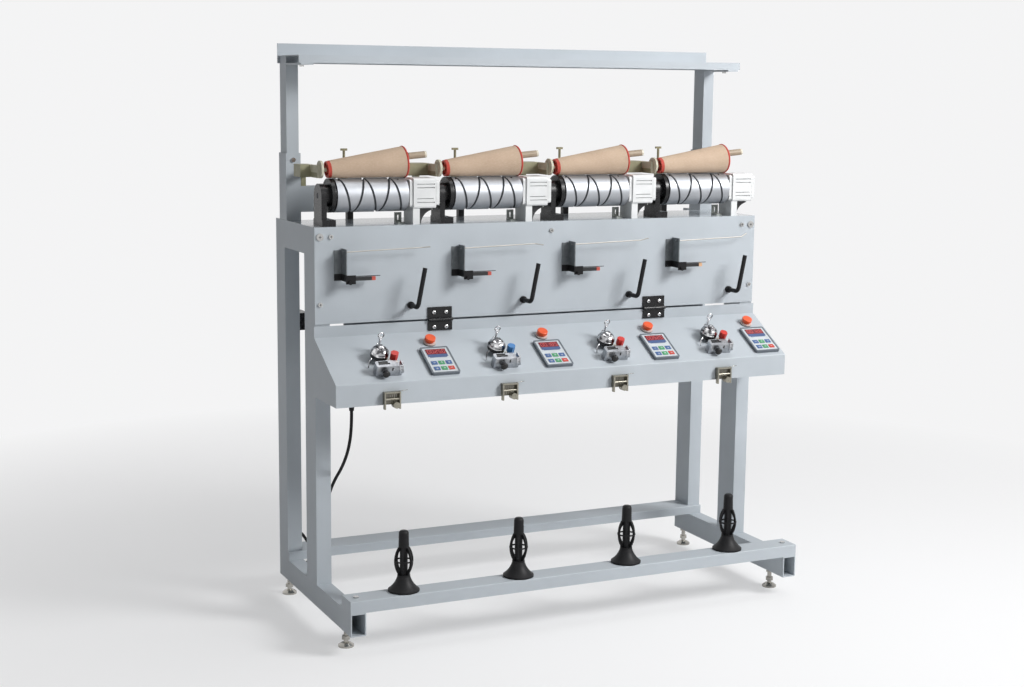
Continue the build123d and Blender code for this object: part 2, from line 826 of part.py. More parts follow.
tray_inset = 6.0
tray_front = lid_front_y + tray_inset
tray_z = lid_bottom_z + 3.0
tray_wall_left = -486.0
tray_wall_right = 430.0
tray_wall_top = 700.0
gland_place = (-500.0, -96.0)
gland_radius = 9.0
with BuildPart() as control_tray:
    block(-lid_half + tray_inset, lid_half - tray_inset, tray_front, panel_plane, tray_z, tray_z + sheet)
    block(
        -lid_half + tray_inset, lid_half - tray_inset, tray_front, tray_front + sheet,
        tray_z, tray_z + 16,
    )
    block(
        -side_inner + seat_gap, side_inner - seat_gap, panel_plane, panel_plane + 20,
        tray_z, tray_z + sheet,
    )
    block(tray_wall_left, tray_wall_right, panel_plane + 18, panel_plane + 20, tray_z, tray_wall_top)
    with Locations((gland_place[0], gland_place[1], tray_z)):
        Cylinder(gland_radius - 2, 4 * sheet, mode=Mode.SUBTRACT)
save(control_tray.part, "control_tray")

# ---------------------------------------------------------------- hinges

hinge_places = (hinge_middle - hinge_spacing / 2, hinge_middle + hinge_spacing / 2)
knuckle_y = strip_front - knuckle_radius
leaf_thickness = 2.5
pin_radius = 2.0


def hinge_leaf(rises, spans):
    """One leaf with its knuckles, and screws on its face."""
    sign = 1 if rises else -1
    leaf_back = panel_front if rises else strip_front
    z_near = hinge_z + sign * 4.5
    z_far = hinge_z + (hinge_leaf_height if rises else lid_rear_z + 1 - hinge_z)
    with BuildPart() as leaf:
        block(
            -hinge_width / 2, hinge_width / 2, leaf_back - leaf_thickness, leaf_back,
            min(z_near, z_far), max(z_near, z_far),
        )
        for low, high in spans:
            with BuildSketch(along_x(low, knuckle_y, hinge_z)):
                Circle(knuckle_radius)
            extrude(amount=high - low)
            block(
                low, high, leaf_back - leaf_thickness, leaf_back - 0.5,
                min(hinge_z, z_near + sign), max(hinge_z, z_near + sign),
            )
            with BuildSketch(along_x(low, knuckle_y, hinge_z)):
                Circle(pin_radius + (running_gap if rises else 0))
            extrude(amount=high - low, mode=Mode.SUBTRACT)
        for x in (-hinge_width / 4, hinge_width / 4):
            with BuildSketch(towards_front(x, leaf_back - leaf_thickness, hinge_z + sign * 16)):
                Circle(4.5)
            extrude(amount=1.5, taper=20)
    return leaf.part


third = hinge_width / 3
fixed_leaf = hinge_leaf(True, [(-hinge_width / 2, -third / 2 - 0.2), (third / 2 + 0.2, hinge_width / 2)])
save(repeat_along(fixed_leaf, hinge_places), "panel_hinge_leaves")
moving_leaf = hinge_leaf(False, [(-third / 2, third / 2)])
with BuildPart() as hinge_pin:
    with BuildSketch(along_x(-hinge_width / 2, knuckle_y, hinge_z)):
        Circle(pin_radius)
    extrude(amount=hinge_width)
with BuildPart() as lid_hinge_leaves:
    with Locations(*[(x, 0, 0) for x in hinge_places]):
        add(moving_leaf)
        add(hinge_pin.part)
save(lid_hinge_leaves.part, "lid_hinge_leaves")

# ---------------------------------------------------------------- buttons and counters

button_base_rise = 4.5
with BuildPart() as button_base:
    with BuildSketch(on_lid(button_x, button_slope)):
        Circle(button_radius + 2)
    extrude(amount=button_base_rise)
    with BuildSketch(on_lid(button_x, button_slope)):
        Circle(button_stem_radius + 2)
    extrude(amount=-22)
    with BuildSketch(on_lid(button_x, button_slope, button_base_rise)):
        Circle(button_stem_radius + running_gap)
    extrude(amount=-22, mode=Mode.SUBTRACT)
save(repeat_along(button_base.part, head_places), "button_bases")

with BuildPart() as push_button:
    with BuildSketch(on_lid(button_x, button_slope, button_base_rise + button_travel + seat_gap)):
        Circle(button_radius)
    extrude(amount=7)
    fillet(push_button.edges().filter_by(GeomType.CIRCLE).sort_by(Axis.Z)[-1], 1.5)
    with BuildSketch(on_lid(button_x, button_slope, button_base_rise + button_travel + seat_gap)):
        Circle(button_stem_radius)
    extrude(amount=-20)
for index, x in enumerate(head_places):
    with BuildPart() as placed_button:
        with Locations((x, 0, 0)):
            add(push_button.part)
    save(placed_button.part, f"push_button_{index + 1}")

with BuildPart() as counter:
    with BuildSketch(on_lid(counter_x, counter_slope)):
        RectangleRounded(counter_width, counter_length, 4)
    extrude(amount=counter_rise)
    with BuildSketch(on_lid(counter_x, counter_slope, counter_rise)):
        Rectangle(counter_width - 8, counter_length - 8)
    extrude(amount=-1.2, mode=Mode.SUBTRACT)
    with BuildSketch(on_lid(counter_x, counter_slope)):
        Rectangle(counter_width - 7, counter_length - 7)
    extrude(amount=-26)
save(repeat_along(counter.part, head_places), "counters")

face_level = counter_rise - 1.2
with BuildPart() as counter_face:
    with BuildSketch(on_lid(counter_x, counter_slope, face_level)):
        Rectangle(counter_width - 8, counter_length - 8)
    extrude(amount=0.7)
    # display window and two rows of three membrane keys
    with BuildSketch(on_lid(counter_x, counter_slope - 21, face_level + 0.7)):
        Rectangle(counter_width - 18, 30)
    extrude(amount=0.4)
    with BuildSketch(on_lid(counter_x, counter_slope + 21, face_level + 0.7)):
        with GridLocations(17, 17, 3, 2):
            Rectangle(11, 11)
    extrude(amount=0.4)
save(repeat_along(counter_face.part, head_places), "counter_faces")

# ---------------------------------------------------------------- tensioners and clearers

cup_radius = 20.0
collar_radius = 12.0
with BuildPart() as tensioner:
    with BuildSketch(on_lid(tensioner_x, tensioner_slope)):
        Circle(6)
    extrude(amount=12)
    with BuildSketch(on_lid(tensioner_x, tensioner_slope, 12)):
        Circle(cup_radius)
    extrude(amount=9)
    with BuildSketch(on_lid(tensioner_x, tensioner_slope, 21)):
        Circle(cup_radius - 1)
    extrude(amount=8, taper=40)
    with BuildSketch(on_lid(tensioner_x, tensioner_slope, 28)):
        Circle(5)
    extrude(amount=8)
    # yarn post with a round eye behind the cup
    with BuildSketch(on_lid(tensioner_x + 6, tensioner_slope - cup_radius - 5)):
        Circle(3)
    extrude(amount=40)
    with BuildSketch(on_lid(tensioner_x + 6, tensioner_slope - cup_radius - 5, 38)):
        Circle(5)
    extrude(amount=5)
    # ceramic collar below the coloured knob
    with BuildSketch(on_lid(knob_x, knob_slope)):
        Circle(collar_radius)
    extrude(amount=10)
    with BuildSketch(on_lid(knob_x, knob_slope, 10)):
        Circle(4 + running_gap)
    extrude(amount=-10, mode=Mode.SUBTRACT)
save(repeat_along(tensioner.part, head_places), "tensioners")

with BuildPart() as tension_knob:
    with BuildSketch(on_lid(knob_x, knob_slope, -6)):
        Circle(4)
    extrude(amount=18)
    with BuildSketch(on_lid(knob_x, knob_slope, 10 + seat_gap)):
        Circle(6)
    extrude(amount=10)
    with BuildSketch(on_lid(knob_x, knob_slope, 20)):
        RegularPolygon(9, 8)
    extrude(amount=16)
    fillet(tension_knob.edges().group_by(Axis.Z)[-1], 1.0)
for index, x in enumerate(head_places):
    with BuildPart() as placed_knob:
        with Locations((x, 0, 0)):
            add(tension_knob.part)
    save(placed_knob.part, f"tension_knob_{index + 1}")

clearer_width = 62.0
clearer_depth = 20.0
clearer_height = 27.0
with BuildPart() as clearer:
    with BuildSketch(on_lid(clearer_x, clearer_slope)):
        Rectangle(clearer_width, clearer_depth)
    extrude(amount=clearer_height)
    fillet(clearer.edges().filter_by(Axis((0, 0, 0), lid_plane.z_dir)), 4)
    # yarn slot along the top, and the gauge step on the right
    with BuildSketch(on_lid(clearer_x - 12, clearer_slope, clearer_height)):
        Rectangle(26, 5)
    extrude(amount=-9, mode=Mode.SUBTRACT)
    with BuildSketch(on_lid(clearer_x + clearer_width / 2 - 9, clearer_slope - 2, clearer_height)):
        Rectangle(10, clearer_depth)
    extrude(amount=-6, mode=Mode.SUBTRACT)
    # clamp knob on the front face
    front = Plane(
        origin=lid_plane.from_local_coords(
            (clearer_x - 10, -clearer_slope - clearer_depth / 2, clearer_height * 0.45)
        ),
        x_dir=(1, 0, 0),
        z_dir=-lid_plane.y_dir,
    )
    with BuildSketch(front):
        RegularPolygon(7, 6)
    extrude(amount=7)
save(repeat_along(clearer.part, head_places), "clearers")

with BuildPart() as lip_guide:
    guide_mid_z = 531.0
    face_y = lid_front_y
    block(
        lip_guide_x - lip_guide_size / 2, lip_guide_x + lip_guide_size / 2, face_y - 3, face_y,
        guide_mid_z - lip_guide_size / 2 + 10, guide_mid_z + lip_guide_size / 2,
    )
    block(
        lip_guide_x - lip_guide_size / 2, lip_guide_x + lip_guide_size / 2, face_y - 12, face_y - 3,
        guide_mid_z + lip_guide_size / 2 - 3, guide_mid_z + lip_guide_size / 2,
    )
    for side in (-1, 1):
        edge = lip_guide_x + side * (lip_guide_size / 2 - 1.5)
        block(
            edge - 1.5, edge + 1.5, face_y - 12, face_y - 3,
            guide_mid_z - lip_guide_size / 2, guide_mid_z + lip_guide_size / 2,
        )
    with BuildSketch(towards_front(lip_guide_x + 8, face_y, guide_mid_z - 10)):
        Circle(7)
    extrude(amount=15)
    with BuildSketch(along_x(lip_guide_x - lip_guide_size / 2, face_y - 8, guide_mid_z + 3)):
        Circle(2.5)
    extrude(amount=lip_guide_size)
save(repeat_along(lip_guide.part, head_places), "lip_guides")

# ---------------------------------------------------------------- screws and small boxes

with BuildPart() as frame_screws:
    rail_top = foot_top + front_rail_height
    for side in (-1, 1):
        with BuildSketch(flat(rail_top, side * (half_width - 21), -half_depth + 26)):
            Circle(6)
        extrude(amount=3)
        with BuildSketch(towards_front(side * 546, panel_front, frame_top - 21)):
            Circle(8)
        extrude(amount=2.5)
        with BuildSketch(towards_front(side * 521, panel_front, frame_top - 21)):
            Circle(5)
        extrude(amount=3)
        with BuildSketch(towards_front(side * 546, panel_front, panel_bottom + 43)):
            Circle(5)
        extrude(amount=3)
        with BuildSketch(
            towards_front(
                side * (post_outer - post_width / 2), post_front - socket_wall, frame_top + 135
            )
        ):
            Circle(5)
        extrude(amount=3)
        with BuildSketch(
            flat(shelf_underside - arm_thickness, side * (post_outer - post_width / 2), shelf_front + 40)
        ):
            Circle(5)
        extrude(amount=-4)
    with BuildSketch(towards_front(8, panel_front, frame_top - 21)):
        Circle(5)
    extrude(amount=3)
save(frame_screws.part, "frame_screws")

with BuildPart() as junction_box:
    block(-side_inner, -side_inner + 22, 188, 248, 634, 674)
    fillet(junction_box.edges().filter_by(Axis.X), 3)
save(junction_box.part, "junction_box")

# ---------------------------------------------------------------- mains cord

cord_radius = cord_diameter / 2
gland_drop = 26.0
cord_start_z = tray_z - gland_drop
with BuildPart() as cord_gland:
    with BuildSketch(flat(tray_z, *gland_place)):
        Circle(gland_radius)
    extrude(amount=-8)
    with BuildSketch(flat(tray_z - 8, *gland_place)):
        Circle(gland_radius - 2)
    extrude(amount=-gland_drop + 8, taper=6)
    with BuildSketch(flat(tray_z, *gland_place)):
        Circle(gland_radius - 2)
    extrude(amount=10)
save(cord_gland.part, "cord_gland")

floor_level = cord_radius + 0.1
coil_x, coil_y = coil_centre
cord_points = [
    (-500, -96, cord_start_z),
    (-500, -96, 458),
    (-502, -80, 407),
    (-505, -46, 362),
    (-508, 0, 322),
    (-508, 42, 276),
    (-506, 78, 228),
    (-505, 112, 180),
    (-506, 146, 142),
    (-508, 184, 129),
    (-512, 224, 146),
    (-513, 262, 138),
    (-510, 282, 98),
    (-505, 280, 52),
    (-495, 270, 17),
    (-474, 262, floor_level),
    (-445, 266, floor_level + 0.05),
    (-426, 284, floor_level),
    (coil_x + coil_radius, 306, floor_level),
    (coil_x + coil_radius, coil_y, floor_level),
]


def cord_radii(points):
    """The largest tangent arc at each inner corner of the route."""
    radii = []
    for before, corner, after in zip(points, points[1:], points[2:]):
        first = Vector(*corner) - Vector(*before)
        second = Vector(*after) - Vector(*corner)
        half_turn = radians(first.get_angle(second)) / 2
        radii.append(0.45 * min(first.length, second.length) / tan(half_turn))
    return radii


radii = cord_radii(cord_points)
runs = [(Vector(*b) - Vector(*a)).length for a, b in zip(cord_points, cord_points[1:])]
print("cord radii", [round(r) for r in radii])
print("cord runs", [round(r) for r in runs])
with BuildPart() as power_cord:
    with BuildLine() as cord_line:
        FilletPolyline(*cord_points, radius=radii)
    with BuildSketch(Plane(origin=cord_line.line @ 0, z_dir=cord_line.line % 0)):
        Circle(cord_radius)
    sweep()
cord_length = cord_line.wire().length
section = pi * cord_radius**2
print("cord length", round(cord_length), "volume ratio", power_cord.part.volume / (section * cord_length))
save(power_cord.part, "power_cord")

# the coil: half turns that step inwards, one that climbs, and half turns that step out
half_turns_in = 4
half_turns_out = 3
coil_radii = [coil_radius - i * coil_step / 2 for i in range(half_turns_in + 1)]
coil_radii += [coil_radii[-1]]
coil_radii += [coil_radii[-1] + (i + 1) * coil_step / 2 for i in range(half_turns_out)]
coil_tail = coil_radius
coil_ends = []
for index, r in enumerate(coil_radii):
    side = 1 if index % 2 == 0 else -1
    level = floor_level if index <= half_turns_in else floor_level + coil_step
    coil_ends.append((Vector(coil_x + side * r, coil_y, level), Vector(0, side, 0)))
with BuildPart() as cord_coil:
    with BuildLine() as coil_line:
        for (start, out), (end, back) in zip(coil_ends, coil_ends[1:]):
            middle = (start + end) / 2 + (out - back) * ((end - start).length / 4)
            TangentArc(start, middle, tangent=out)
            TangentArc(end, middle, tangent=-back)
        # the free end crosses the outer turn and runs straight to the plug
        Line(coil_ends[-1][0], coil_ends[-1][0] + coil_ends[-1][1] * coil_tail)
    with BuildSketch(Plane(origin=coil_ends[0][0], z_dir=coil_ends[0][1])):
        Circle(cord_radius)
    sweep(path=coil_line.wire())
coil_length = coil_line.wire().length
save(cord_coil.part, "cord_coil")
print("coil length", round(coil_length), "total", round(coil_length + cord_length))

plug_at = coil_ends[-1][0] + coil_ends[-1][1] * coil_tail
plug_plane = Plane(origin=plug_at, x_dir=(1, 0, 0), z_dir=coil_ends[-1][1])
with BuildPart() as power_plug:
    with BuildSketch(plug_plane):
        Circle(cord_radius + 2)
    extrude(amount=12)
    with BuildSketch(plug_plane.offset(12)):
        RectangleRounded(34, 2 * (floor_level + coil_step) - 1, 6)
    extrude(amount=26)
    with BuildSketch(plug_plane.offset(38)):
        with Locations((-9.5, 0), (9.5, 0)):
            Circle(2.4)
    extrude(amount=19)
save(power_plug.part, "power_plug")
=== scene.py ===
# %% [markdown]
# # A four-head yarn cone winder, dressed for a studio picture
# The machine's solid pieces come in already placed, in metres, with Z up from the
# floor. Nothing here moves them. This lesson gives each one its finish, adds the
# small pieces that are easier to make as meshes, and lights the result.

# %% Load the frame of the machine
import math

import bmesh
import bpy
from mathutils import Matrix, Vector


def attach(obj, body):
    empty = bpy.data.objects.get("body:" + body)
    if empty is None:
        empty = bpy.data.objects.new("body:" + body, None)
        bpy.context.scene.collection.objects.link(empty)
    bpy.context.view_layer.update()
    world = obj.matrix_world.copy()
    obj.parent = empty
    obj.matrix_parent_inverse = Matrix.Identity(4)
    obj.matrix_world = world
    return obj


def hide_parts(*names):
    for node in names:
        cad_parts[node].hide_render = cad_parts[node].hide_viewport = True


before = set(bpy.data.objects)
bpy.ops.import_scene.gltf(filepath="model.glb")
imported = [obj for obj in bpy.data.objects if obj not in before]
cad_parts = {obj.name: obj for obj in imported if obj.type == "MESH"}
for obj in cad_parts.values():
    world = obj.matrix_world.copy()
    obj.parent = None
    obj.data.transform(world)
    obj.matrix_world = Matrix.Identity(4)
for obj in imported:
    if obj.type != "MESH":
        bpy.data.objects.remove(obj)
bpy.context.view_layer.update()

# %% [markdown]
# ## The camera
# The photograph was taken from the front left, a little above the machine. A long
# lens keeps the four heads nearly the same size. The picture's centre sits a hair
# away from the lens axis, so the camera's shift makes up for it instead of a turn.

# %% Place the camera at the photograph's viewing angle
picture_width, picture_height = 1024, 687
focal_pixels = 1619.4
film_width = 36
centre_x, centre_y = 509.9, 345.4
camera_place = (-1.6434, -3.3331, 1.1861)
yaw, pitch, roll = (math.radians(a) for a in (25.12, 9.02, 0.615))

ahead = Vector((
    math.sin(yaw) * math.cos(pitch), math.cos(yaw) * math.cos(pitch), -math.sin(pitch),
))
level_right = Vector((math.cos(yaw), -math.sin(yaw), 0))
level_up = level_right.cross(ahead)
right = level_right * math.cos(roll) + level_up * math.sin(roll)
up = level_up * math.cos(roll) - level_right * math.sin(roll)

lens = bpy.data.cameras.new("studio_camera")
lens.sensor_fit = "HORIZONTAL"
lens.sensor_width = film_width
lens.lens = focal_pixels / picture_width * film_width
lens.shift_x = (picture_width / 2 - centre_x) / picture_width
lens.shift_y = (centre_y - picture_height / 2) / picture_width
lens.clip_end = 60
camera = bpy.data.objects.new("studio_camera", lens)
turn = Matrix((right, up, -ahead)).transposed().to_4x4()
camera.matrix_world = Matrix.Translation(camera_place) @ turn
bpy.context.scene.collection.objects.link(camera)
bpy.context.scene.camera = camera
print("camera at", [round(v, 3) for v in camera.location], "lens", round(lens.lens, 1))

# %% [markdown]
# ## The mains lead
# A rubber lead leaves the control desk at its left end, hangs behind the front leg
# and passes over the rear rail. Its spare length is wound up behind the machine, as
# it would be in a store. A NURBS curve is used because its line bends as smoothly as
# rubber does, with only a few points to place. The bevel is one metre deep and
# each point's radius scales it down to the lead's own, because the box that Blender
# keeps round a curve grows with those radii.

# %% Lay the lead's route, in metres
lead_diameter = 0.007
floor_level = 0.0036
coil_x, coil_y = -0.466, 0.326
coil_radius, coil_step = 0.043, 0.0075
lead_route = [
    (-0.500, -0.096, 0.498), (-0.500, -0.096, 0.458), (-0.502, -0.080, 0.407),
    (-0.505, -0.046, 0.362), (-0.508, 0.000, 0.322), (-0.508, 0.042, 0.276),
    (-0.506, 0.078, 0.228), (-0.505, 0.112, 0.180), (-0.506, 0.146, 0.142),
    (-0.508, 0.184, 0.129), (-0.512, 0.224, 0.146), (-0.513, 0.262, 0.138),
    (-0.510, 0.282, 0.098), (-0.505, 0.280, 0.052), (-0.495, 0.270, 0.017),
    (-0.474, 0.262, floor_level), (-0.445, 0.266, floor_level),
    (-0.426, 0.284, floor_level), (coil_x + coil_radius, 0.306, floor_level),
    (coil_x + coil_radius, coil_y, floor_level),
]

points_per_half_turn = 8
half_turn_radii = [coil_radius - i * coil_step / 2 for i in range(5)]
half_turn_radii += [half_turn_radii[-1] + i * coil_step / 2 for i in range(4)]
for index, (r0, r1) in enumerate(zip(half_turn_radii, half_turn_radii[1:])):
    z0 = floor_level + (coil_step if index > 4 else 0)
    z1 = floor_level + (coil_step if index > 3 else 0)
    for k in range(1, points_per_half_turn + 1):
        share = k / points_per_half_turn
        angle = math.pi * (index + share)
        radius = r0 + (r1 - r0) * share
        lead_route.append((
            coil_x + radius * math.cos(angle),
            coil_y + radius * math.sin(angle),
            z0 + (z1 - z0) * share,
        ))
coil_tail = coil_radius
last = lead_route[-1]
lead_route.append((last[0], last[1] + coil_tail / 2, last[2]))
lead_route.append((last[0], last[1] + coil_tail, last[2]))
print("lead points", len(lead_route))

# %% Turn the route into a round rubber lead
lead_data = bpy.data.curves.new("mains_lead", "CURVE")
lead_data.dimensions = "3D"
lead_data.bevel_depth = 1.0
lead_data.bevel_resolution = 5
lead_data.resolution_u = 8
lead_line = lead_data.splines.new("NURBS")
lead_line.points.add(len(lead_route) - 1)
for point, place in zip(lead_line.points, lead_route):
    point.co = (*place, 1)
    point.radius = lead_diameter / 2
lead_line.order_u = 3
lead_line.use_endpoint_u = True
mains_lead = bpy.data.objects.new("mains_lead", lead_data)
bpy.context.scene.collection.objects.link(mains_lead)
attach(mains_lead, "frame")
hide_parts("power_cord", "cord_coil")
print("lead thickness", lead_diameter)

# %% [markdown]
# ## Writing a finish as an expression
# A material is a small graph of nodes, and long graphs are hard to read. The class
# below wraps one socket, so that adding, multiplying or comparing two values in
# Python adds the matching Math node. A finish then reads like a formula. Every other
# node comes from one method, which the studio's world uses as well.

# %% One class for sockets, one for trees of nodes, one for finishes
class Value:
    def __init__(self, graph, socket):
        self.graph, self.socket = graph, socket

    def math(self, operation, *others, clamp=False):
        sockets = {index + 1: other for index, other in enumerate(others)}
        settings = {"operation": operation, "use_clamp": clamp}
        return self.graph.node("ShaderNodeMath", settings, {0: self, **sockets})

    def flipped(self, operation, other):
        return self.graph.node("ShaderNodeMath", {"operation": operation}, {0: other, 1: self})

    def __add__(self, other): return self.math("ADD", other)
    def __radd__(self, other): return self.math("ADD", other)
    def __sub__(self, other): return self.math("SUBTRACT", other)
    def __rsub__(self, other): return self.flipped("SUBTRACT", other)
    def __mul__(self, other): return self.math("MULTIPLY", other)
    def __rmul__(self, other): return self.math("MULTIPLY", other)
    def __truediv__(self, other): return self.math("DIVIDE", other)
    def __pow__(self, other): return self.math("POWER", other)
    def __gt__(self, other): return self.math("GREATER_THAN", other)
    def __lt__(self, other): return self.math("LESS_THAN", other)
    def __abs__(self): return self.math("ABSOLUTE")

    def clamped(self): return self.math("ADD", 0.0, clamp=True)

    def ramp(self, low, high):
        """0 below low, 1 above high, and a straight line between them."""
        return ((self - low) / (high - low)).clamped()


class Graph:
    """A tree of nodes, and the one method that adds any node to it."""

    def __init__(self, tree):
        self.tree = tree

    def node(self, kind, settings=None, inputs=None, output=0):
        made = self.tree.nodes.new(kind)
        for key, value in (settings or {}).items():
            setattr(made, key, value)
        for key, value in (inputs or {}).items():
            if isinstance(value, Value):
                self.tree.links.new(value.socket, made.inputs[key])
            else:
                made.inputs[key].default_value = value
        return Value(self, made.outputs[output] if made.outputs else None)

    def seen_directly(self):
        """1 where the camera, a mirror or a glass looks, 0 for light that only falls."""
        path = self.node("ShaderNodeLightPath").socket.node.outputs
        camera_ray, mirror_ray, glass_ray = (
            Value(self, path[f"Is {kind} Ray"]) for kind in ("Camera", "Glossy", "Transmission")
        )
        return (camera_ray + mirror_ray + glass_ray).clamped()


class Finish(Graph):
    """One material. Values that are the same all over are set when it is made."""

    def __init__(self, name, **sockets):
        self.material = bpy.data.materials.new(name)
        self.material.use_nodes = True
        super().__init__(self.material.node_tree)
        self.shader = self.tree.nodes["Principled BSDF"]
        for socket, value in sockets.items():
            self.set(socket.replace("_", " ").title().replace("Ior", "IOR"), value)

    def set(self, socket, value):
        if isinstance(value, Value):
            self.tree.links.new(value.socket, self.shader.inputs[socket])
        elif socket == "Base Color" and len(value) == 3:
            self.shader.inputs[socket].default_value = (*value, 1)
        else:
            self.shader.inputs[socket].default_value = value

    def place(self):
        """Where the surface is, in metres, in the machine's own frame."""
        return self.node("ShaderNodeTexCoord", output="Object")

    def axes(self):
        split = self.node("ShaderNodeSeparateXYZ", None, {0: self.place()})
        return [Value(self, s) for s in split.socket.node.outputs]

    def along(self, direction, origin=(0, 0, 0)):
        """How far the surface lies from origin along a direction."""
        offset = self.node(
            "ShaderNodeVectorMath", {"operation": "SUBTRACT"}, {0: self.place(), 1: origin}
        )
        return self.node(
            "ShaderNodeVectorMath", {"operation": "DOT_PRODUCT"}, {0: offset, 1: direction},
            output="Value",
        )

    def noise(self, scale, detail=3.0, stretch=None, roughness=0.55):
        place = self.place()
        if stretch:
            place = self.node(
                "ShaderNodeVectorMath", {"operation": "MULTIPLY"}, {0: place, 1: stretch}
            )
        return self.node(
            "ShaderNodeTexNoise", None,
            {"Vector": place, "Scale": scale, "Detail": detail, "Roughness": roughness},
        )

    def blend(self, mask, first, second):
        """first where the mask is 0, second where it is 1."""
        full = [c if isinstance(c, Value) else (*c, 1) for c in (first, second)]
        return self.node(
            "ShaderNodeMix", {"data_type": "RGBA"}, {0: mask, 6: full[0], 7: full[1]}, output=2
        )

    def bump(self, height, strength, distance):
        self.set("Normal", self.node(
            "ShaderNodeBump", None, {"Strength": strength, "Distance": distance, "Height": height}
        ))


def finish_nodes(finish, *names):
    """Give these solid pieces one finish."""
    for name in names:
        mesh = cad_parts[name].data
        mesh.materials.clear()
        mesh.materials.append(finish.material)


print("helpers ready")

# %% [markdown]
# ## Powder-coated sheet and tube
# The frame, panel, desk and shelf are steel with a pale blue-grey powder coat. Such a
# coat is never one flat colour: it is a little cloudy, has a fine orange-peel skin,
# and picks up dust low down. Three noises at very different sizes give all that. The
# deck under the drums is wiped smooth by lint and cloths, so it shines.

# %% Blue-grey powder coat
deck_height, deck_front = 0.888, -0.027
deck_margin = 0.0006


def powder_coat(name, colour, rough=0.42, peel=0.05):
    coat = Finish(name, specular_ior_level=0.45)
    cloud = coat.noise(5.0, 4.0)
    speck = coat.noise(900.0, 2.0)
    _, depth_behind, height = coat.axes()
    dusty = (1 - height.ramp(0.0, 0.35)) * cloud.ramp(0.35, 0.75)
    light = tuple(min(1.0, c * 1.05) for c in colour)
    dark = tuple(c * 0.93 for c in colour)
    dust = tuple(c * 0.9 + 0.03 for c in colour)
    body = coat.blend(cloud.ramp(0.3, 0.7), dark, light)
    coat.set("Base Color", coat.blend(dusty * 0.5, body, dust))
    wiped = (height > deck_height - deck_margin) * (height < deck_height + deck_margin)
    wiped = wiped * (depth_behind > deck_front)
    coat.set("Roughness", (rough + 0.08 * cloud + 0.05 * speck) * (1 - 0.78 * wiped))
    coat.bump(speck * (1 - 0.8 * wiped), peel, 0.0004)
    return coat


grey_coat = powder_coat("blue_grey_powder_coat", (0.455, 0.495, 0.53))
grey_pieces = (
    "left_side_frame", "right_side_frame", "front_rail", "rear_rail", "rear_beam",
    "left_upper_post", "right_upper_post", "top_shelf", "upper_panel", "control_lid",
    "control_tray",
)
finish_nodes(grey_coat, *grey_pieces)
print("powder coat on", len(grey_pieces), "pieces")

# %% [markdown]
# ## Black enamel and black plastic
# The drum housings and hinges are enamelled castings, glossy with a rough skin. The
# supply pegs are moulded plastic, duller, with a faint flow pattern.

# %% Blacks
deep_black = (0.004, 0.004, 0.005)
plain_black = (0.012, 0.012, 0.013)
soft_black = (0.02, 0.02, 0.021)


def black(name, rough, grain, strength, gloss=0.22):
    dark = Finish(name, specular_ior_level=gloss)
    skin = dark.noise(grain, 3.0)
    dark.set("Base Color", dark.blend(skin.ramp(0.3, 0.7), deep_black, plain_black))
    dark.set("Roughness", rough + 0.16 * skin)
    dark.bump(skin, strength, 0.0005)
    return dark


black_enamel = black("black_enamel", 0.2, 260.0, 0.1, gloss=0.35)
black_plastic = black("black_plastic", 0.42, 500.0, 0.1)
black_rubber = black("black_rubber", 0.55, 700.0, 0.08)
finish_nodes(
    black_enamel, "drum_housings", "panel_hinge_leaves", "lid_hinge_leaves", "junction_box"
)
finish_nodes(black_plastic, "supply_pegs")
finish_nodes(black_rubber, "cord_gland", "power_plug")
mains_lead.data.materials.append(black_rubber.material)
print("black finishes ready")

# %% [markdown]
# ## Bare and plated metals
# Nickel on the levelling feet is warm and shows soft cloudy stains. The frame's screws
# are bare steel, brighter and cleaner. One helper makes both, from a fine grain for
# the skin and a wide cloud for the stains.

# %% Plated and bare metals
def metal(name, colour, rough, grain=120.0, stain=0.2):
    plate = Finish(name, metallic=1.0)
    lines = plate.noise(grain, 4.0)
    cloud = plate.noise(30.0, 3.0)
    dull = tuple(c * (1 - stain) for c in colour)
    plate.set("Base Color", plate.blend(cloud.ramp(0.35, 0.75), colour, dull))
    plate.set("Roughness", rough + 0.14 * lines)
    plate.bump(lines, 0.08, 0.0003)
    return plate


nickel = metal("warm_nickel", (0.46, 0.445, 0.41), 0.14, grain=260.0, stain=0.5)
screw_steel = metal("screw_steel", (0.62, 0.62, 0.61), 0.12, stain=0.35)
finish_nodes(nickel, "levelling_feet")
finish_nodes(screw_steel, "frame_screws")
print("metals ready")

# %% [markdown]
# ## Grooved drums
# A drum is turned aluminium, so its tool marks run round it. Seen from the side they
# are lines of equal X. The crossing grooves hold lint and shadow: the surface there
# lies closer to the axis than the drum's own radius, which makes an exact mask.

# %% Satin drums with dark grooves
drum_y, drum_z, drum_radius = 0.013, 0.953, 0.037
groove_depth = 0.003


def radius_from_drum_axis(finish):
    _, y, z = finish.axes()
    return ((y - drum_y) ** 2 + (z - drum_z) ** 2) ** 0.5


turned = Finish("turned_aluminium", metallic=0.8)
tool_marks = turned.noise(40.0, 3.0, stretch=(60, 1, 1))
smears = turned.noise(16.0, 3.0)
depth = (drum_radius - radius_from_drum_axis(turned)) / groove_depth
in_groove = depth.ramp(0.08, 0.75)
bright = turned.blend(smears.ramp(0.3, 0.75), (0.43, 0.445, 0.47), (0.34, 0.355, 0.38))
bright = turned.blend(tool_marks.ramp(0.4, 0.7) * 0.35, bright, (0.50, 0.515, 0.54))
turned.set("Base Color", turned.blend(in_groove, bright, (0.12, 0.125, 0.135)))
turned.set("Roughness", 0.42 + 0.14 * tool_marks + 0.25 * in_groove)
turned.bump(tool_marks, 0.06, 0.0003)
finish_nodes(turned, *[f"drum_{i}" for i in range(1, 5)])
print("drums ready")

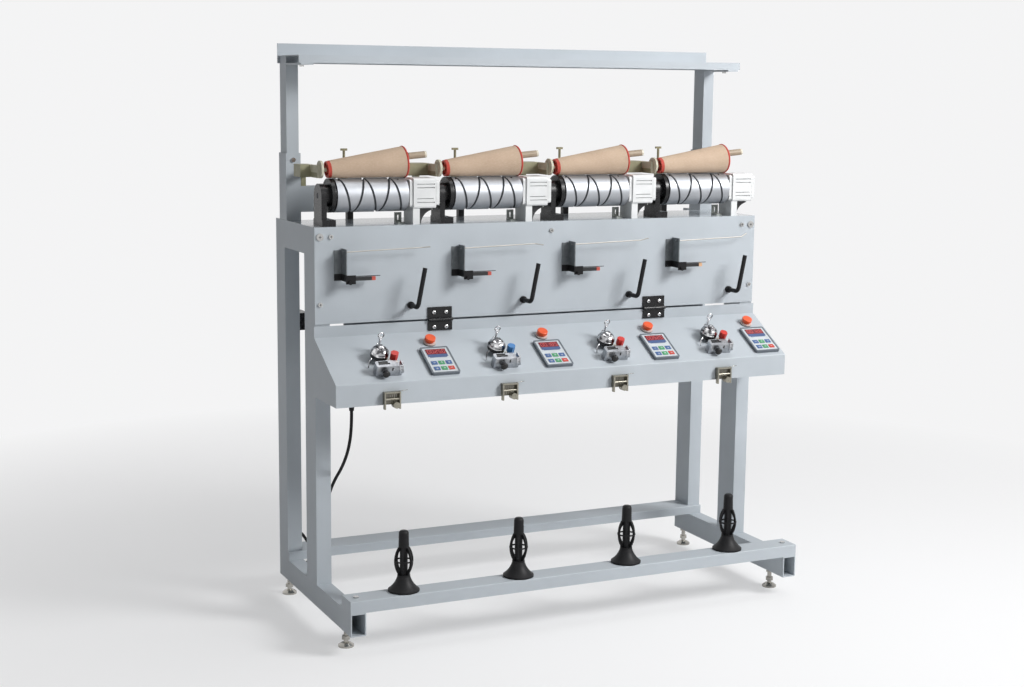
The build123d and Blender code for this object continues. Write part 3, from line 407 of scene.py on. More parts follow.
# %% [markdown]
# ## Paper cones on red-ended mandrels
# Each winding cone is pressed paper, warm tan with fine fibres. The mandrel's rim and
# nose ring are red. One solid holds both, so a mask along the tilted spindle tells
# them apart.

# %% Paper and red plastic on one piece
head_places = [-0.4125, -0.1375, 0.1375, 0.4125]
cone_tilt = math.radians(5)
cone_axis = (math.cos(cone_tilt), 0.0, math.sin(cone_tilt))
cone_nose = Vector((-0.098, drum_y, drum_z + 0.0373 + 0.019 * math.cos(cone_tilt)))
cone_length, rim_width = 0.174, 0.0045
for index, x in enumerate(head_places):
    paper = Finish(f"paper_cone_{index + 1}", specular_ior_level=0.3)
    origin = tuple(cone_nose + Vector((x, 0, 0)))
    reach = paper.along(cone_axis, origin)
    red_part = ((reach < 0.001) + (reach > cone_length - rim_width)).clamped()
    fibres = paper.noise(700.0, 5.0, stretch=(0.25, 1, 1))
    stain = paper.noise(18.0 + index, 3.0)
    tan_tone = paper.blend(stain.ramp(0.3, 0.75), (0.56, 0.42, 0.305), (0.48, 0.35, 0.25))
    tan_tone = paper.blend(fibres.ramp(0.45, 0.7) * 0.35, tan_tone, (0.66, 0.53, 0.42))
    paper.set("Base Color", paper.blend(red_part, tan_tone, (0.52, 0.07, 0.05)))
    paper.set("Roughness", 0.62 - 0.25 * red_part + 0.1 * fibres)
    paper.bump(fibres, 0.12, 0.0003)
    finish_nodes(paper, f"cone_{index + 1}")
print("cones ready")

# %% [markdown]
# ## Cradle castings
# The cradles are khaki enamel castings with a brown end bracket and tan handles that
# end in ivory caps. The same trick is used: a distance along the spindle marks where
# each colour starts.

# %% Khaki castings, brown bracket, tan handle
bracket_start = cone_length + 0.0005
handle_start = cone_length + 0.0105
cap_start = cone_length + 0.049
pale_start = -0.0285
for index, x in enumerate(head_places):
    cast = Finish(f"cradle_enamel_{index + 1}", specular_ior_level=0.5)
    origin = tuple(cone_nose + Vector((x, 0, 0)))
    reach = cast.along(cone_axis, origin)
    sand = cast.noise(140.0, 4.0)
    patch = cast.noise(22.0 + 3 * index, 3.0)
    khaki = cast.blend(patch.ramp(0.35, 0.7), (0.235, 0.225, 0.135), (0.33, 0.315, 0.20))
    pale = cast.blend(patch.ramp(0.35, 0.7), (0.50, 0.475, 0.36), (0.60, 0.575, 0.46))
    brown = cast.blend(sand.ramp(0.3, 0.7), (0.075, 0.025, 0.018), (0.13, 0.045, 0.03))
    tan = cast.blend(patch.ramp(0.3, 0.8), (0.30, 0.235, 0.165), (0.38, 0.31, 0.22))
    ivory = cast.blend(patch.ramp(0.3, 0.8), (0.70, 0.66, 0.55), (0.60, 0.56, 0.45))
    tone = cast.blend(reach > pale_start, khaki, pale)
    for start, colour in ((bracket_start, brown), (handle_start, tan), (cap_start, ivory)):
        tone = cast.blend(reach > start, tone, colour)
    cast.set("Base Color", tone)
    cast.set("Roughness", 0.38 + 0.2 * sand)
    cast.bump(sand, 0.15, 0.0006)
    finish_nodes(cast, f"cradle_{index + 1}")
print("cradles ready")

# %% [markdown]
# ## What carries the cradles
# Each cradle turns on a shaft between two enamelled pedestals. One pedestal carries a
# T-headed brass pin, and black posts hold the whole beam. Height alone tells them
# apart, so one finish does for all of them.

# %% Pedestals, pins and posts
post_top, pin_start = 0.9065, 1.0125
pedestal = Finish("pedestal_enamel", specular_ior_level=0.4)
height = pedestal.axes()[2]
on_pin = height > pin_start
sand = pedestal.noise(140.0, 4.0)
enamel = pedestal.blend(sand.ramp(0.3, 0.7), (0.33, 0.315, 0.20), (0.26, 0.25, 0.15))
brass = pedestal.blend(sand.ramp(0.3, 0.7), (0.20, 0.18, 0.11), (0.30, 0.27, 0.18))
tone = pedestal.blend(on_pin, enamel, brass)
tone = pedestal.blend(height < post_top, tone, plain_black)
pedestal.set("Base Color", tone)
pedestal.set("Metallic", on_pin * 0.6)
pedestal.set("Roughness", 0.34 + 0.2 * sand)
pedestal.bump(sand, 0.12, 0.0005)
finish_nodes(pedestal, "cradle_pivots")
print("pedestals ready")

# %% [markdown]
# ## Guide brackets
# A guide is a zinc bracket whose dark tone is partly painted shade, a drawn wire for the yarn and
# a black clamp for the feeler. They repeat with the heads, so the place within one head picks the
# colour.

# %% Zinc bracket, drawn wire, black clamp
head_pitch = 0.275
wire_start, wire_bottom, clamp_top = -0.0837, 0.79, 0.7868


def place_in_head(finish):
    """How far the surface lies to the right of the middle of its own head."""
    across = finish.axes()[0]
    return (across + 2 * head_pitch).math("MODULO", head_pitch) - head_pitch / 2


guide = Finish("guide_bracket_zinc", metallic=0.7)
height = guide.axes()[2]
on_wire = (place_in_head(guide) > wire_start) * (height > wire_bottom)
on_clamp = height < clamp_top
cloud = guide.noise(90.0, 4.0)
# The bracket's dark tone is partly the metal's own colour and partly painted shade beside the
# bracket.
zinc_and_painted_shade = guide.blend(cloud.ramp(0.3, 0.7), (0.13, 0.145, 0.155), (0.20, 0.215, 0.225))
tone = guide.blend(on_wire, zinc_and_painted_shade, (0.40, 0.38, 0.35))
tone = guide.blend(on_clamp, tone, plain_black)
guide.set("Base Color", tone)
guide.set("Roughness", 0.36 + 0.18 * cloud)
guide.bump(cloud, 0.08, 0.0003)
finish_nodes(guide, "yarn_guides")
print("guides ready")

# %% [markdown]
# ## Motors and their mounts
# The small motors are white enamel. Each stands on a white foot, a black gusset and a
# plated steel plate. Those three are one group of solids, so the mask is where along
# the head the surface lies.

# %% White motors, mounts in three colours
white_enamel = Finish("white_enamel", specular_ior_level=0.5)
grime = white_enamel.noise(25.0, 4.0)
enamel = white_enamel.blend(grime.ramp(0.4, 0.8), (0.76, 0.77, 0.77), (0.66, 0.67, 0.67))
white_enamel.set("Base Color", enamel)
white_enamel.set("Roughness", 0.3 + 0.15 * grime)
white_enamel.bump(white_enamel.noise(400.0), 0.05, 0.0004)
finish_nodes(white_enamel, "drum_motors")

foot_start, gusset_start = 0.0765, 0.103
mount = Finish("motor_mount_enamel")
in_head = place_in_head(mount)
grime = mount.noise(60.0, 3.0)
plate = mount.blend(grime, (0.34, 0.36, 0.33), (0.45, 0.47, 0.44))
tone = mount.blend(in_head > foot_start, plate, (0.74, 0.75, 0.75))
tone = mount.blend(in_head > gusset_start, tone, soft_black)
mount.set("Base Color", tone)
mount.set("Roughness", 0.32 + 0.15 * grime)
mount.bump(grime, 0.1, 0.0005)
finish_nodes(mount, "motor_mounts")
print("motors ready")

# %% [markdown]
# ## Coloured plastics
# Push buttons and knobs are moulded in plain colours. Moulded plastic is almost even,
# so only a weak cloud and a fine skin are added.

# %% Plastics
def plastic(name, colour, rough=0.28, **sockets):
    moulded = Finish(name, specular_ior_level=0.5, **sockets)
    cloud = moulded.noise(60.0, 3.0)
    deep = tuple(c * 0.85 for c in colour)
    moulded.set("Base Color", moulded.blend(cloud.ramp(0.3, 0.7), colour, deep))
    moulded.set("Roughness", rough + 0.12 * cloud)
    moulded.bump(moulded.noise(800.0), 0.04, 0.0003)
    return moulded


orange = plastic("orange_button_plastic", (0.86, 0.115, 0.03))
red = plastic("red_knob_plastic", (0.62, 0.03, 0.02))
blue = plastic("blue_knob_plastic", (0.045, 0.20, 0.48))
bezel_grey = plastic("counter_bezel_plastic", (0.13, 0.15, 0.175), 0.35)
face_white = plastic("counter_face_film", (0.60, 0.64, 0.67), 0.3)
for i in range(1, 5):
    finish_nodes(orange, f"push_button_{i}")
    finish_nodes(blue if i == 2 else red, f"tension_knob_{i}")
    finish_nodes(black_plastic, f"lever_{i}")
finish_nodes(bezel_grey, "counters")
finish_nodes(face_white, "counter_faces")
print("plastics ready")

# %% [markdown]
# ## Yarn feelers
# A feeler is a black arm with a red tip, which the yarn holds down. The tip is the
# last nine millimetres.

# %% Black arms with red tips
tip_start, arm_top = -0.0245, 0.7815
for index, x in enumerate(head_places):
    arm = Finish(f"feeler_plastic_{index + 1}")
    skin = arm.noise(300.0)
    across, _, height = arm.axes()
    tip = (across > x + tip_start) * (height < arm_top)
    tip_tone = (0.62, 0.36, 0.20) if index == 3 else (0.50, 0.085, 0.06)
    arm.set("Base Color", arm.blend(tip, (0.008, 0.008, 0.009), tip_tone))
    arm.set("Roughness", 0.35 + 0.15 * skin)
    arm.bump(skin, 0.08, 0.0003)
    finish_nodes(arm, f"feeler_{index + 1}")
print("feelers ready")

# %% [markdown]
# ## A frame for things on the desk
# Counters, keys and tensioners stand on the sloping desk. It is easiest to place them
# by how far along the machine, how far down the slope and how high above it they are.

# %% Desk coordinates
desk_rear = Vector((0, -0.028, 0.651))
desk_angle = math.atan2(0.651 - 0.569, 0.172 - 0.028)
down_slope = Vector((0, -math.cos(desk_angle), -math.sin(desk_angle)))
desk_normal = Vector((0, -math.sin(desk_angle), math.cos(desk_angle)))


def on_desk(x, slope, rise=0.0):
    return desk_rear + Vector((x, 0, 0)) + down_slope * slope + desk_normal * rise


def new_piece(name, shape, finish, body, smooth=True):
    """Finish a bmesh as an object that moves with a body."""
    data = bpy.data.meshes.new(name)
    bmesh.ops.recalc_face_normals(shape, faces=shape.faces)
    shape.to_mesh(data)
    shape.free()
    for face in data.polygons:
        face.use_smooth = smooth
    data.materials.append(finish.material)
    piece = bpy.data.objects.new(name, data)
    bpy.context.scene.collection.objects.link(piece)
    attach(piece, body)


def pad(shape, centre, size, turn_to=None, round_by=0.0006):
    """A block with softened edges, turned to lie on the desk or any other face."""
    made = bmesh.ops.create_cube(shape, size=1.0)["verts"]
    bmesh.ops.scale(shape, vec=size, verts=made)
    edges = list({e for v in made for e in v.link_edges})
    bevelled = bmesh.ops.bevel(
        shape, geom=edges, offset=round_by, segments=2, affect="EDGES", profile=0.6
    )
    corners = {v for f in bevelled["faces"] for v in f.verts}
    corners = list(corners | {v for v in made if v.is_valid})
    matrix = Matrix.Translation(centre) @ (turn_to or Matrix.Identity(4))
    bmesh.ops.transform(shape, matrix=matrix, verts=corners)


desk_turn = Matrix((Vector((1, 0, 0)), -down_slope, desk_normal)).transposed().to_4x4()
print("desk slope", round(math.degrees(desk_angle), 1), "degrees")

# %% [markdown]
# ## Counter displays and keys
# Each counter has a dark window with red figures over a blue band, and two rows of
# three membrane keys. The figures are plain digits made of seven bars.

# %% Windows, figures, bands and keys
window_black = plastic("display_window", (0.20, 0.028, 0.04), 0.16)
figure_red = plastic("display_figures", (0.70, 0.10, 0.09), 0.4)
band_blue = plastic("display_band", (0.055, 0.10, 0.24), 0.3)
key_blue = plastic("membrane_key_blue", (0.05, 0.12, 0.30), 0.35)
key_green = plastic("membrane_key_green", (0.05, 0.30, 0.12), 0.35)
key_red = plastic("membrane_key_red", (0.55, 0.05, 0.03), 0.35)
counter_x, counter_slope, face_rise = 0.105, 0.110, 0.0069
window_down, digit_pitch, bar_reach, bar_drop = -0.0275, 0.0086, 0.0027, 0.0056
bars_of = {"0": "abcdef", "1": "bc", "2": "abged", "5": "afgcd", "8": "abcdefg"}
bar_places = {
    "a": (0, -1, 1), "g": (0, 0, 1), "d": (0, 1, 1),
    "f": (-1, -0.5, 0), "b": (1, -0.5, 0), "e": (-1, 0.5, 0), "c": (1, 0.5, 0),
}
figures = ("00250", "00185", "00520", "00128")


def counter_pads(name, finish, pads):
    """One thin pad per head for each (across, down, width, length, rise) given."""
    shape = bmesh.new()
    for x in head_places:
        for across, down, width, length, rise in pads:
            middle = on_desk(x + counter_x + across, counter_slope + down, face_rise + rise)
            pad(shape, middle, (width, length, 0.0008), desk_turn, 0.0003)
    new_piece(name, shape, finish, "lid", smooth=False)


counter_pads("display_windows", window_black, [(0, window_down, 0.047, 0.018, 0.0002)])
band_pads = [(0, -0.0145, 0.047, 0.008, 0.0002), (0, -0.0095, 0.040, 0.003, 0.0002)]
counter_pads("display_bands", band_blue, band_pads)
keys = [(across, down) for down in (0.0105, 0.0295) for across in (-0.017, 0, 0.017)]
key_tones = (key_blue, key_green, key_blue, key_blue, key_green, key_red)
for number, ((across, down), tone) in enumerate(zip(keys, key_tones)):
    counter_pads(f"membrane_key_{number + 1}", tone, [(across, down, 0.0135, 0.012, 0.0003)])

shape = bmesh.new()
for x, text in zip(head_places, figures):
    for place, digit in enumerate(text):
        for bar in bars_of[digit]:
            across, down, flat = bar_places[bar]
            size = (0.0048, 0.0011, 0.0004) if flat else (0.0011, 0.0048, 0.0004)
            middle = on_desk(
                x + counter_x + (place - 2) * digit_pitch + across * bar_reach,
                counter_slope + window_down + down * bar_drop, face_rise + 0.0007,
            )
            pad(shape, middle, size, desk_turn, 0.0001)
new_piece("display_digits", shape, figure_red, "lid", smooth=False)

mark_white = plastic("key_marks", (0.72, 0.74, 0.76), 0.4)
marks = []
for number, (across, down) in enumerate(keys):
    marks.append((across, down, 0.005, 0.0009, 0.0009))
    if number in (1, 4):
        marks.append((across, down, 0.0009, 0.005, 0.0009))
    if number in (2, 3):
        marks.append((across, down + 0.0022, 0.0034, 0.0008, 0.0009))
counter_pads("key_marks", mark_white, marks)
print("counter faces ready")

# %% [markdown]
# ## Tensioners and clearers
# A tensioner is a black cup with a chrome dome, a post with an eye, and a pale ceramic
# collar under its knob. Their colours change with height above the desk and with the
# place within the head. A clearer is a bare casting with a black knob and a slot in painted shade.

# %% Masks by height above the desk and by place in the head
def rise_above_desk(finish):
    return finish.along(tuple(desk_normal), tuple(desk_rear))


collar_start, cup_top = -0.0185, 0.0205
parts = Finish("tensioner_metal")
cloud = parts.noise(40.0)
is_collar = place_in_head(parts) > collar_start
is_chrome = (1 - is_collar) * (rise_above_desk(parts) > cup_top)
tone = parts.blend(is_chrome, soft_black, (0.72, 0.72, 0.73))
tone = parts.blend(is_collar, tone, (0.60, 0.57, 0.47))
parts.set("Base Color", tone)
parts.set("Metallic", is_chrome)
parts.set("Roughness", 0.16 + 0.14 * cloud)
parts.bump(cloud, 0.03, 0.0003)
finish_nodes(parts, "tensioners")

clearer_x, clearer_slope, knob_start = -0.024, 0.136, 0.1463
slot_x, slot_half_length, slot_half_width = -0.036, 0.0135, 0.0026
slot_bottom, slot_top = 0.0175, 0.0268
clearer = Finish("clearer_casting")
down = clearer.along(tuple(down_slope), tuple(desk_rear))
rise = rise_above_desk(clearer)
on_knob = down > knob_start
# The yarn slot is painted black: painted shade inside the slot.
painted_slot_shade = (rise > slot_bottom) * (rise < slot_top)
painted_slot_shade = painted_slot_shade * (abs(down - clearer_slope) < slot_half_width)
painted_slot_shade = painted_slot_shade * (abs(place_in_head(clearer) - slot_x) < slot_half_length)
dark = (on_knob + painted_slot_shade).clamped()
cloud = clearer.noise(70.0, 4.0)
scuff = clearer.noise(600.0, 3.0, stretch=(0.2, 1, 1))
bare = clearer.blend(cloud.ramp(0.35, 0.7), (0.46, 0.475, 0.50), (0.27, 0.28, 0.30))
clearer.set("Base Color", clearer.blend(dark, bare, plain_black))
clearer.set("Metallic", 0.9 * (1 - dark))
clearer.set("Roughness", 0.2 + 0.2 * scuff)
clearer.bump(scuff, 0.08, 0.0003)
finish_nodes(clearer, "clearers")
print("tensioners and clearers ready")

# %% [markdown]
# ## Rounded and bent pieces
# Two helpers make most small fittings. A lathe turns a profile round an axis, and a
# wire is a round section carried along a list of points. Both write straight into a
# bmesh, so that many copies can share one object.

# %% A lathe and a wire bender
def lathe(shape, profile, matrix, steps=24):
    """Turn (radius, height) pairs round the matrix's Z axis."""
    rings = [
        [
            shape.verts.new(matrix @ Vector((
                r * math.cos(2 * math.pi * k / steps), r * math.sin(2 * math.pi * k / steps), h,
            ))) for k in range(steps)
        ] for r, h in profile
    ]
    for low, high in zip(rings, rings[1:]):
        for k in range(steps):
            shape.faces.new((low[k], low[(k + 1) % steps], high[(k + 1) % steps], high[k]))
    for end in (rings[0], rings[-1]):
        shape.faces.new(end)


def wire(shape, points, radius, matrix=None, sides=8, closed=False):
    """Carry a round section along the points, and cap it unless it is a ring."""
    matrix = matrix or Matrix.Identity(4)
    points = [matrix @ Vector(p) for p in points]
    count = len(points)
    across = None
    rings = []
    for k, point in enumerate(points):
        after = points[(k + 1) % count] if closed or k < count - 1 else point
        before = points[k - 1] if closed or k else point
        ahead_here = (after - before).normalized()
        if across is None:
            across = ahead_here.orthogonal().normalized()
        across = (across - ahead_here * across.dot(ahead_here)).normalized()
        other = ahead_here.cross(across)
        rings.append([
            shape.verts.new(
                point + radius * (across * math.cos(2 * math.pi * a / sides)
                                  + other * math.sin(2 * math.pi * a / sides))
            ) for a in range(sides)
        ])
    pairs = list(zip(rings, rings[1:])) + ([(rings[-1], rings[0])] if closed else [])
    for low, high in pairs:
        for a in range(sides):
            shape.faces.new((low[a], low[(a + 1) % sides], high[(a + 1) % sides], high[a]))
    if not closed:
        shape.faces.new(rings[0])
        shape.faces.new(rings[-1])


def circle(radius, upright=False, count=20):
    """Points of a ring that lies flat or stands up."""
    turns = [2 * math.pi * k / count for k in range(count)]
    if upright:
        return [(radius * math.cos(a), 0, radius * math.sin(a)) for a in turns]
    return [(radius * math.cos(a), radius * math.sin(a), 0.0) for a in turns]


def desk_matrix(x, slope, rise=0.0):
    return Matrix.Translation(on_desk(x, slope, rise)) @ desk_turn


facing_front = Matrix.Rotation(math.pi / 2, 4, "X")
print("lathe and wire ready")

# %% [markdown]
# ## Chrome on the tensioners
# The solid tensioner has a plain cone for its cover. The real cover is a polished
# spun dome, so a dome goes over the cone, with a nut on top, an eye and a spring on the
# post behind it and a small spur at its left. Polished metal shows its surroundings in
# hard-edged blotches, so its colour is broken up into dark, grey and bright painted reflections.

# %% Domes, nuts, eyes, springs and spurs
spun = Finish("spun_chrome", metallic=1.0)
blotch = spun.noise(110.0, 2.0, roughness=0.4)
fine = spun.noise(500.0, 3.0)
# Dark, grey and bright blotches in the base colour are painted reflections.
painted_reflections = spun.blend(blotch.ramp(0.40, 0.47), (0.10, 0.10, 0.105), (0.42, 0.42, 0.43))
painted_reflections = spun.blend(blotch.ramp(0.56, 0.62), painted_reflections, (0.78, 0.78, 0.79))
spun.set("Base Color", painted_reflections)
spun.set("Roughness", 0.08 + 0.12 * fine)
spun.bump(blotch, 0.25, 0.0008)
dome_profile = [(0.0199, 0.0195), (0.0203, 0.0212)]
dome_profile += [
    (0.0196 * math.cos(a) ** 0.8 + 0.0001, 0.0212 + 0.0132 * math.sin(a))
    for a in [math.radians(d) for d in (0, 12, 25, 38, 50, 62, 74, 84)]
]
nut_profile = [
    (0.0068, 0.0338), (0.0072, 0.0350), (0.0072, 0.0372), (0.0058, 0.0385), (0.0022, 0.0388),
]
spur_points = [
    (-0.014, -0.008, 0.015), (-0.022, -0.012, 0.015), (-0.0275, -0.016, 0.0125),
    (-0.030, -0.021, 0.008), (-0.031, -0.026, 0.002),
]
dome_x, dome_slope = -0.030, 0.090
post_x, post_slope, eye_rise = -0.024, 0.065, 0.0475
spring_rise, spring_pitch = 0.012, 0.0042
shape = bmesh.new()
for x in head_places:
    seat = desk_matrix(x + dome_x, dome_slope)
    lathe(shape, dome_profile, seat, 40)
    lathe(shape, nut_profile, seat, 24)
    wire(shape, spur_points, 0.0013, seat)
    eye = desk_matrix(x + post_x, post_slope, eye_rise)
    wire(shape, circle(0.0062, upright=True), 0.0014, eye, closed=True)
    for turn_number in range(3):
        coil = desk_matrix(x + post_x, post_slope, spring_rise + spring_pitch * turn_number)
        wire(shape, circle(0.0052), 0.0011, coil, closed=True)
new_piece("tensioner_chrome", shape, spun, "lid")
print("tensioner chrome ready")

# %% [markdown]
# ## Details on the clearers
# The clearer's knob has a black domed cap, and a gloss black plate of painted shade lies over
# its yarn slot. At the right stands a small plate with a scale, tilted towards the operator.

# %% Slot shade plates, knob caps and scale plates
gloss_black = black("gloss_black_moulding", 0.15, 300.0, 0.05, gloss=0.4)
slot_shade_place, slot_shade_size = Vector((-0.0135, 0.0035, 0.0272)), (0.021, 0.0085, 0.0012)
pointer_place, pointer_size = Vector((0.0055, -0.0102, 0.019)), (0.003, 0.0008, 0.008)
cap_place = (-0.010, -0.0165, 0.0122)
cap_profile = [
    (0.0078, 0.0), (0.0082, 0.0015), (0.0078, 0.0035), (0.0055, 0.0052), (0.0018, 0.0058),
]
shape = bmesh.new()
for x in head_places:
    seat = desk_matrix(x + clearer_x, clearer_slope)
    # A gloss black plate over the yarn slot: painted shade in the slot.
    pad(shape, seat @ slot_shade_place, slot_shade_size, desk_turn, 0.0004)
    pad(shape, seat @ pointer_place, pointer_size, desk_turn, 0.0003)
    lathe(shape, cap_profile, seat @ Matrix.Translation(cap_place) @ facing_front)
new_piece("clearer_black_fittings", shape, gloss_black, "lid")

scale_metal = metal("scale_plate", (0.60, 0.61, 0.63), 0.22, grain=400.0)
shape = bmesh.new()
lines = bmesh.new()
plate_size, line_pitch = (0.0095, 0.0012, 0.023), 0.004
lean = Matrix.Translation((0.0255, -0.0112, 0.018)) @ Matrix.Rotation(math.radians(-14), 4, "Y")
for x in head_places:
    seat = desk_matrix(x + clearer_x, clearer_slope) @ lean
    plate_turn = seat.to_3x3().to_4x4()
    pad(shape, seat.to_translation(), plate_size, plate_turn, 0.0004)
    for step in range(5):
        reach = 0.0042 if step % 2 else 0.006
        middle = seat @ Vector((0.0038 - reach / 2, -0.0008, -0.008 + line_pitch * step))
        pad(lines, middle, (reach, 0.0003, 0.0008), plate_turn, 0.0001)
new_piece("clearer_scale_plates", shape, scale_metal, "lid")
new_piece("clearer_scale_lines", lines, gloss_black, "lid", smooth=False)
print("clearer details ready")

# %% [markdown]
# ## Guides on the lid's front lip
# Each lip guide is dark pewter, with fine upright ribs on its plate and a thin wire
# that keeps the yarn in. The plate is recessed and catches less light, so it is
# darker than the frame round it.

# %% Pewter plates, ribs and keeper wires
lip_front, plate_recess = -0.172, 0.0034
guide_x, rib_pitch, rib_height = -0.026, 0.0042, 0.535
pewter = Finish("pewter", metallic=0.8)
depth_behind = pewter.axes()[1]
worn = pewter.noise(180.0, 4.0)
shaded = (depth_behind > lip_front - plate_recess) * 0.75
frame_tone = pewter.blend(worn.ramp(0.3, 0.75), (0.36, 0.34, 0.285), (0.22, 0.21, 0.17))
pewter.set("Base Color", pewter.blend(shaded, frame_tone, (0.085, 0.08, 0.06)))
pewter.set("Roughness", 0.24 + 0.22 * worn)
pewter.bump(worn, 0.15, 0.0005)
finish_nodes(pewter, "lip_guides")
shape = bmesh.new()
for x in head_places:
    middle_x = x + guide_x
    for rib in range(6):
        rib_x = middle_x - 0.0105 + rib_pitch * rib
        place = Vector((rib_x, lip_front - plate_recess, rib_height))
        pad(shape, place, (0.0013, 0.0012, 0.019), round_by=0.0003)
    start = Vector((middle_x + 0.015, lip_front - 0.006, 0.5500))
    bends = [start + Vector(step) for step in ((0.010, 0, 0.0006), (0.020, -0.001, 0.0018))]
    wire(shape, [start] + bends, 0.0007)
new_piece("lip_guide_ribs", shape, nickel, "lid")
print("lip guides ready")

# %% [markdown]
# ## Rings under the push buttons
# The button sits in a pale moulded ring, which shows as a thin light line below the
# orange mushroom. Below that line the ring is painted soft black as the shadow under it.

# %% Pale rings
painted_shadow_top = 0.0016
ring_plastic = Finish("button_ring_with_painted_shadow", specular_ior_level=0.4)
cloud = ring_plastic.noise(120.0)
pale_part = rise_above_desk(ring_plastic) > painted_shadow_top
pale = ring_plastic.blend(cloud, (0.62, 0.50, 0.46), (0.70, 0.60, 0.56))
# The ring's lowest band is soft black: a painted shadow under the ring.
ring_plastic.set("Base Color", ring_plastic.blend(pale_part, soft_black, pale))
ring_plastic.set("Roughness", 0.35 + 0.1 * cloud)
finish_nodes(ring_plastic, "button_bases")
print("button rings ready")

# %% [markdown]
# ## Marks on the drums and motors
# A drum is held by grub screws, which show as dark dots near its ends. They turn with
# it, so each drum has its own. The motor's cooling grooves show as fine dark lines,
# and most of them end in a small round hole.

# %% Grub screws and groove shadows
screw_sink = 0.0003
screw_profile = [(0.0026, 0.0), (0.0026, 0.0003), (0.0021, 0.0004), (0.0004, 0.0004)]
for number, x in enumerate(head_places):
    shape = bmesh.new()
    for reach, degrees in ((-0.082, 64), (0.055, 66), (0.066, 240)):
        angle = math.radians(degrees)
        out = Vector((0, -math.cos(angle), math.sin(angle)))
        turn_out = out.to_track_quat("Z", "Y").to_matrix().to_4x4()
        spot = Vector((x + reach, drum_y, drum_z)) + out * (drum_radius - screw_sink)
        lathe(shape, screw_profile, Matrix.Translation(spot) @ turn_out, 16)
    new_piece(f"drum_grub_screws_{number + 1}", shape, gloss_black, f"drum_{number + 1}")

groove_shadow = plastic("groove_shadow", (0.10, 0.10, 0.105), 0.6)
motor_height = 0.956
groove_x, groove_y, hole_x, hole_y = 0.1135, -0.0187, 0.1345, -0.0199
hole_profile = [(0.0013, 0.0), (0.0013, 0.0003), (0.0003, 0.0003)]
shape = bmesh.new()
for x in head_places:
    for rise, has_hole in ((-0.020, True), (-0.012, False), (0.012, True), (0.020, True)):
        middle = Vector((x + groove_x, groove_y, motor_height + rise))
        pad(shape, middle, (0.038, 0.0004, 0.0008), round_by=0.0001)
        if has_hole:
            hole = Matrix.Translation((x + hole_x, hole_y, motor_height + rise))
            lathe(shape, hole_profile, hole @ facing_front, 12)
new_piece("motor_groove_shadows", shape, groove_shadow, "frame", smooth=False)
print("drum and motor marks ready")

# %% [markdown]
# ## Screw heads
# The frame's screws are plain discs in the solid model. A cross recess is a tiny
# thing, but it is what makes a disc read as a screw, so it is added as dark bars of painted
# shade. The hinge leaves have domed screws with a six-sided socket, painted as a dark hexagon of
# shade.

# %% Painted shade in the cross recesses of the panel screws
recess = plastic("screw_recess", (0.03, 0.03, 0.03), 0.5)
outer_x, inner_x, middle_x = 0.546, 0.521, 0.008
upper_row, lower_row = 0.867, 0.721
screw_front, corner_screw_front = -0.031, -0.0305
screws = [(s * outer_x, upper_row, corner_screw_front) for s in (-1, 1)]
screws += [(s * inner_x, upper_row, screw_front) for s in (-1, 1)]
screws += [(middle_x, upper_row, screw_front)]
screws += [(s * outer_x, lower_row, screw_front) for s in (-1, 1)]
shape = bmesh.new()
# Each cross is two dark bars: painted shade in the screw's recess.
for x, z, y in screws:
    for size in ((0.0062, 0.0006, 0.0012), (0.0012, 0.0006, 0.0062)):
        pad(shape, Vector((x, y, z)), size, round_by=0.0002)
new_piece("panel_screw_recesses", shape, recess, "frame", smooth=False)

print("panel screws", len(screws))

# %% Domed hinge screws and the painted shade in their sockets
bright_screw = metal("hinge_screw_steel", (0.70, 0.70, 0.70), 0.15)


def screw_heads(name, places, radius, finish, body):
    """Domed heads that face the front."""
    shape = bmesh.new()
    for x, y, z in places:
        rings = []
        for share in range(5):
            angle = share / 4 * math.pi / 2
            ring_radius, out = radius * math.cos(angle), radius * 0.45 * math.sin(angle)
            rings.append([
                shape.verts.new((
                    x + ring_radius * math.cos(a * math.pi / 8), y - out,
                    z + ring_radius * math.sin(a * math.pi / 8),
                )) for a in range(16)
            ])
        for low, high in zip(rings, rings[1:]):
            for a in range(16):
                shape.faces.new((low[a], low[(a + 1) % 16], high[(a + 1) % 16], high[a]))
    bmesh.ops.remove_doubles(shape, verts=shape.verts, dist=1e-6)
    new_piece(name, shape, finish, body)


hinge_places = [0.006 - 0.274, 0.006 + 0.274]
screw_places = [x + s * 0.0145 for x in hinge_places for s in (-1, 1)]
head_radius, socket_rise = 0.0046, 0.0019
socket_profile = [(0.0020, 0.0), (0.0020, 0.0004), (0.0004, 0.0004)]
upper_heads = [(x, -0.032, 0.692) for x in screw_places]
lower_heads = [(x, -0.034, 0.660) for x in screw_places]
for name, heads, body in (("upper", upper_heads, "frame"), ("lower", lower_heads, "lid")):
    shape = bmesh.new()
    for x, y, z in heads:
        # A dark six-sided disc in each head: painted shade in the socket.
        socket = Matrix.Translation((x, y - socket_rise, z))
        lathe(shape, socket_profile, socket @ facing_front, 6)
    new_piece(f"{name}_hinge_sockets", shape, recess, body, smooth=False)
screw_heads("upper_hinge_screws", upper_heads, head_radius, bright_screw, "frame")
screw_heads("lower_hinge_screws", lower_heads, head_radius, bright_screw, "lid")
print("hinge screws", len(upper_heads) + len(lower_heads))

# %% [markdown]
# ## Floor and backdrop
# The floor is a plain pale sheet that runs up behind the machine in a wide curve, as
# in a studio. Near the machine it keeps half of its own shading, and so the machine's
# shadow. Further out it fades into an even white that shows only to the camera and in
# metal and glass, so it throws no light on the machine.

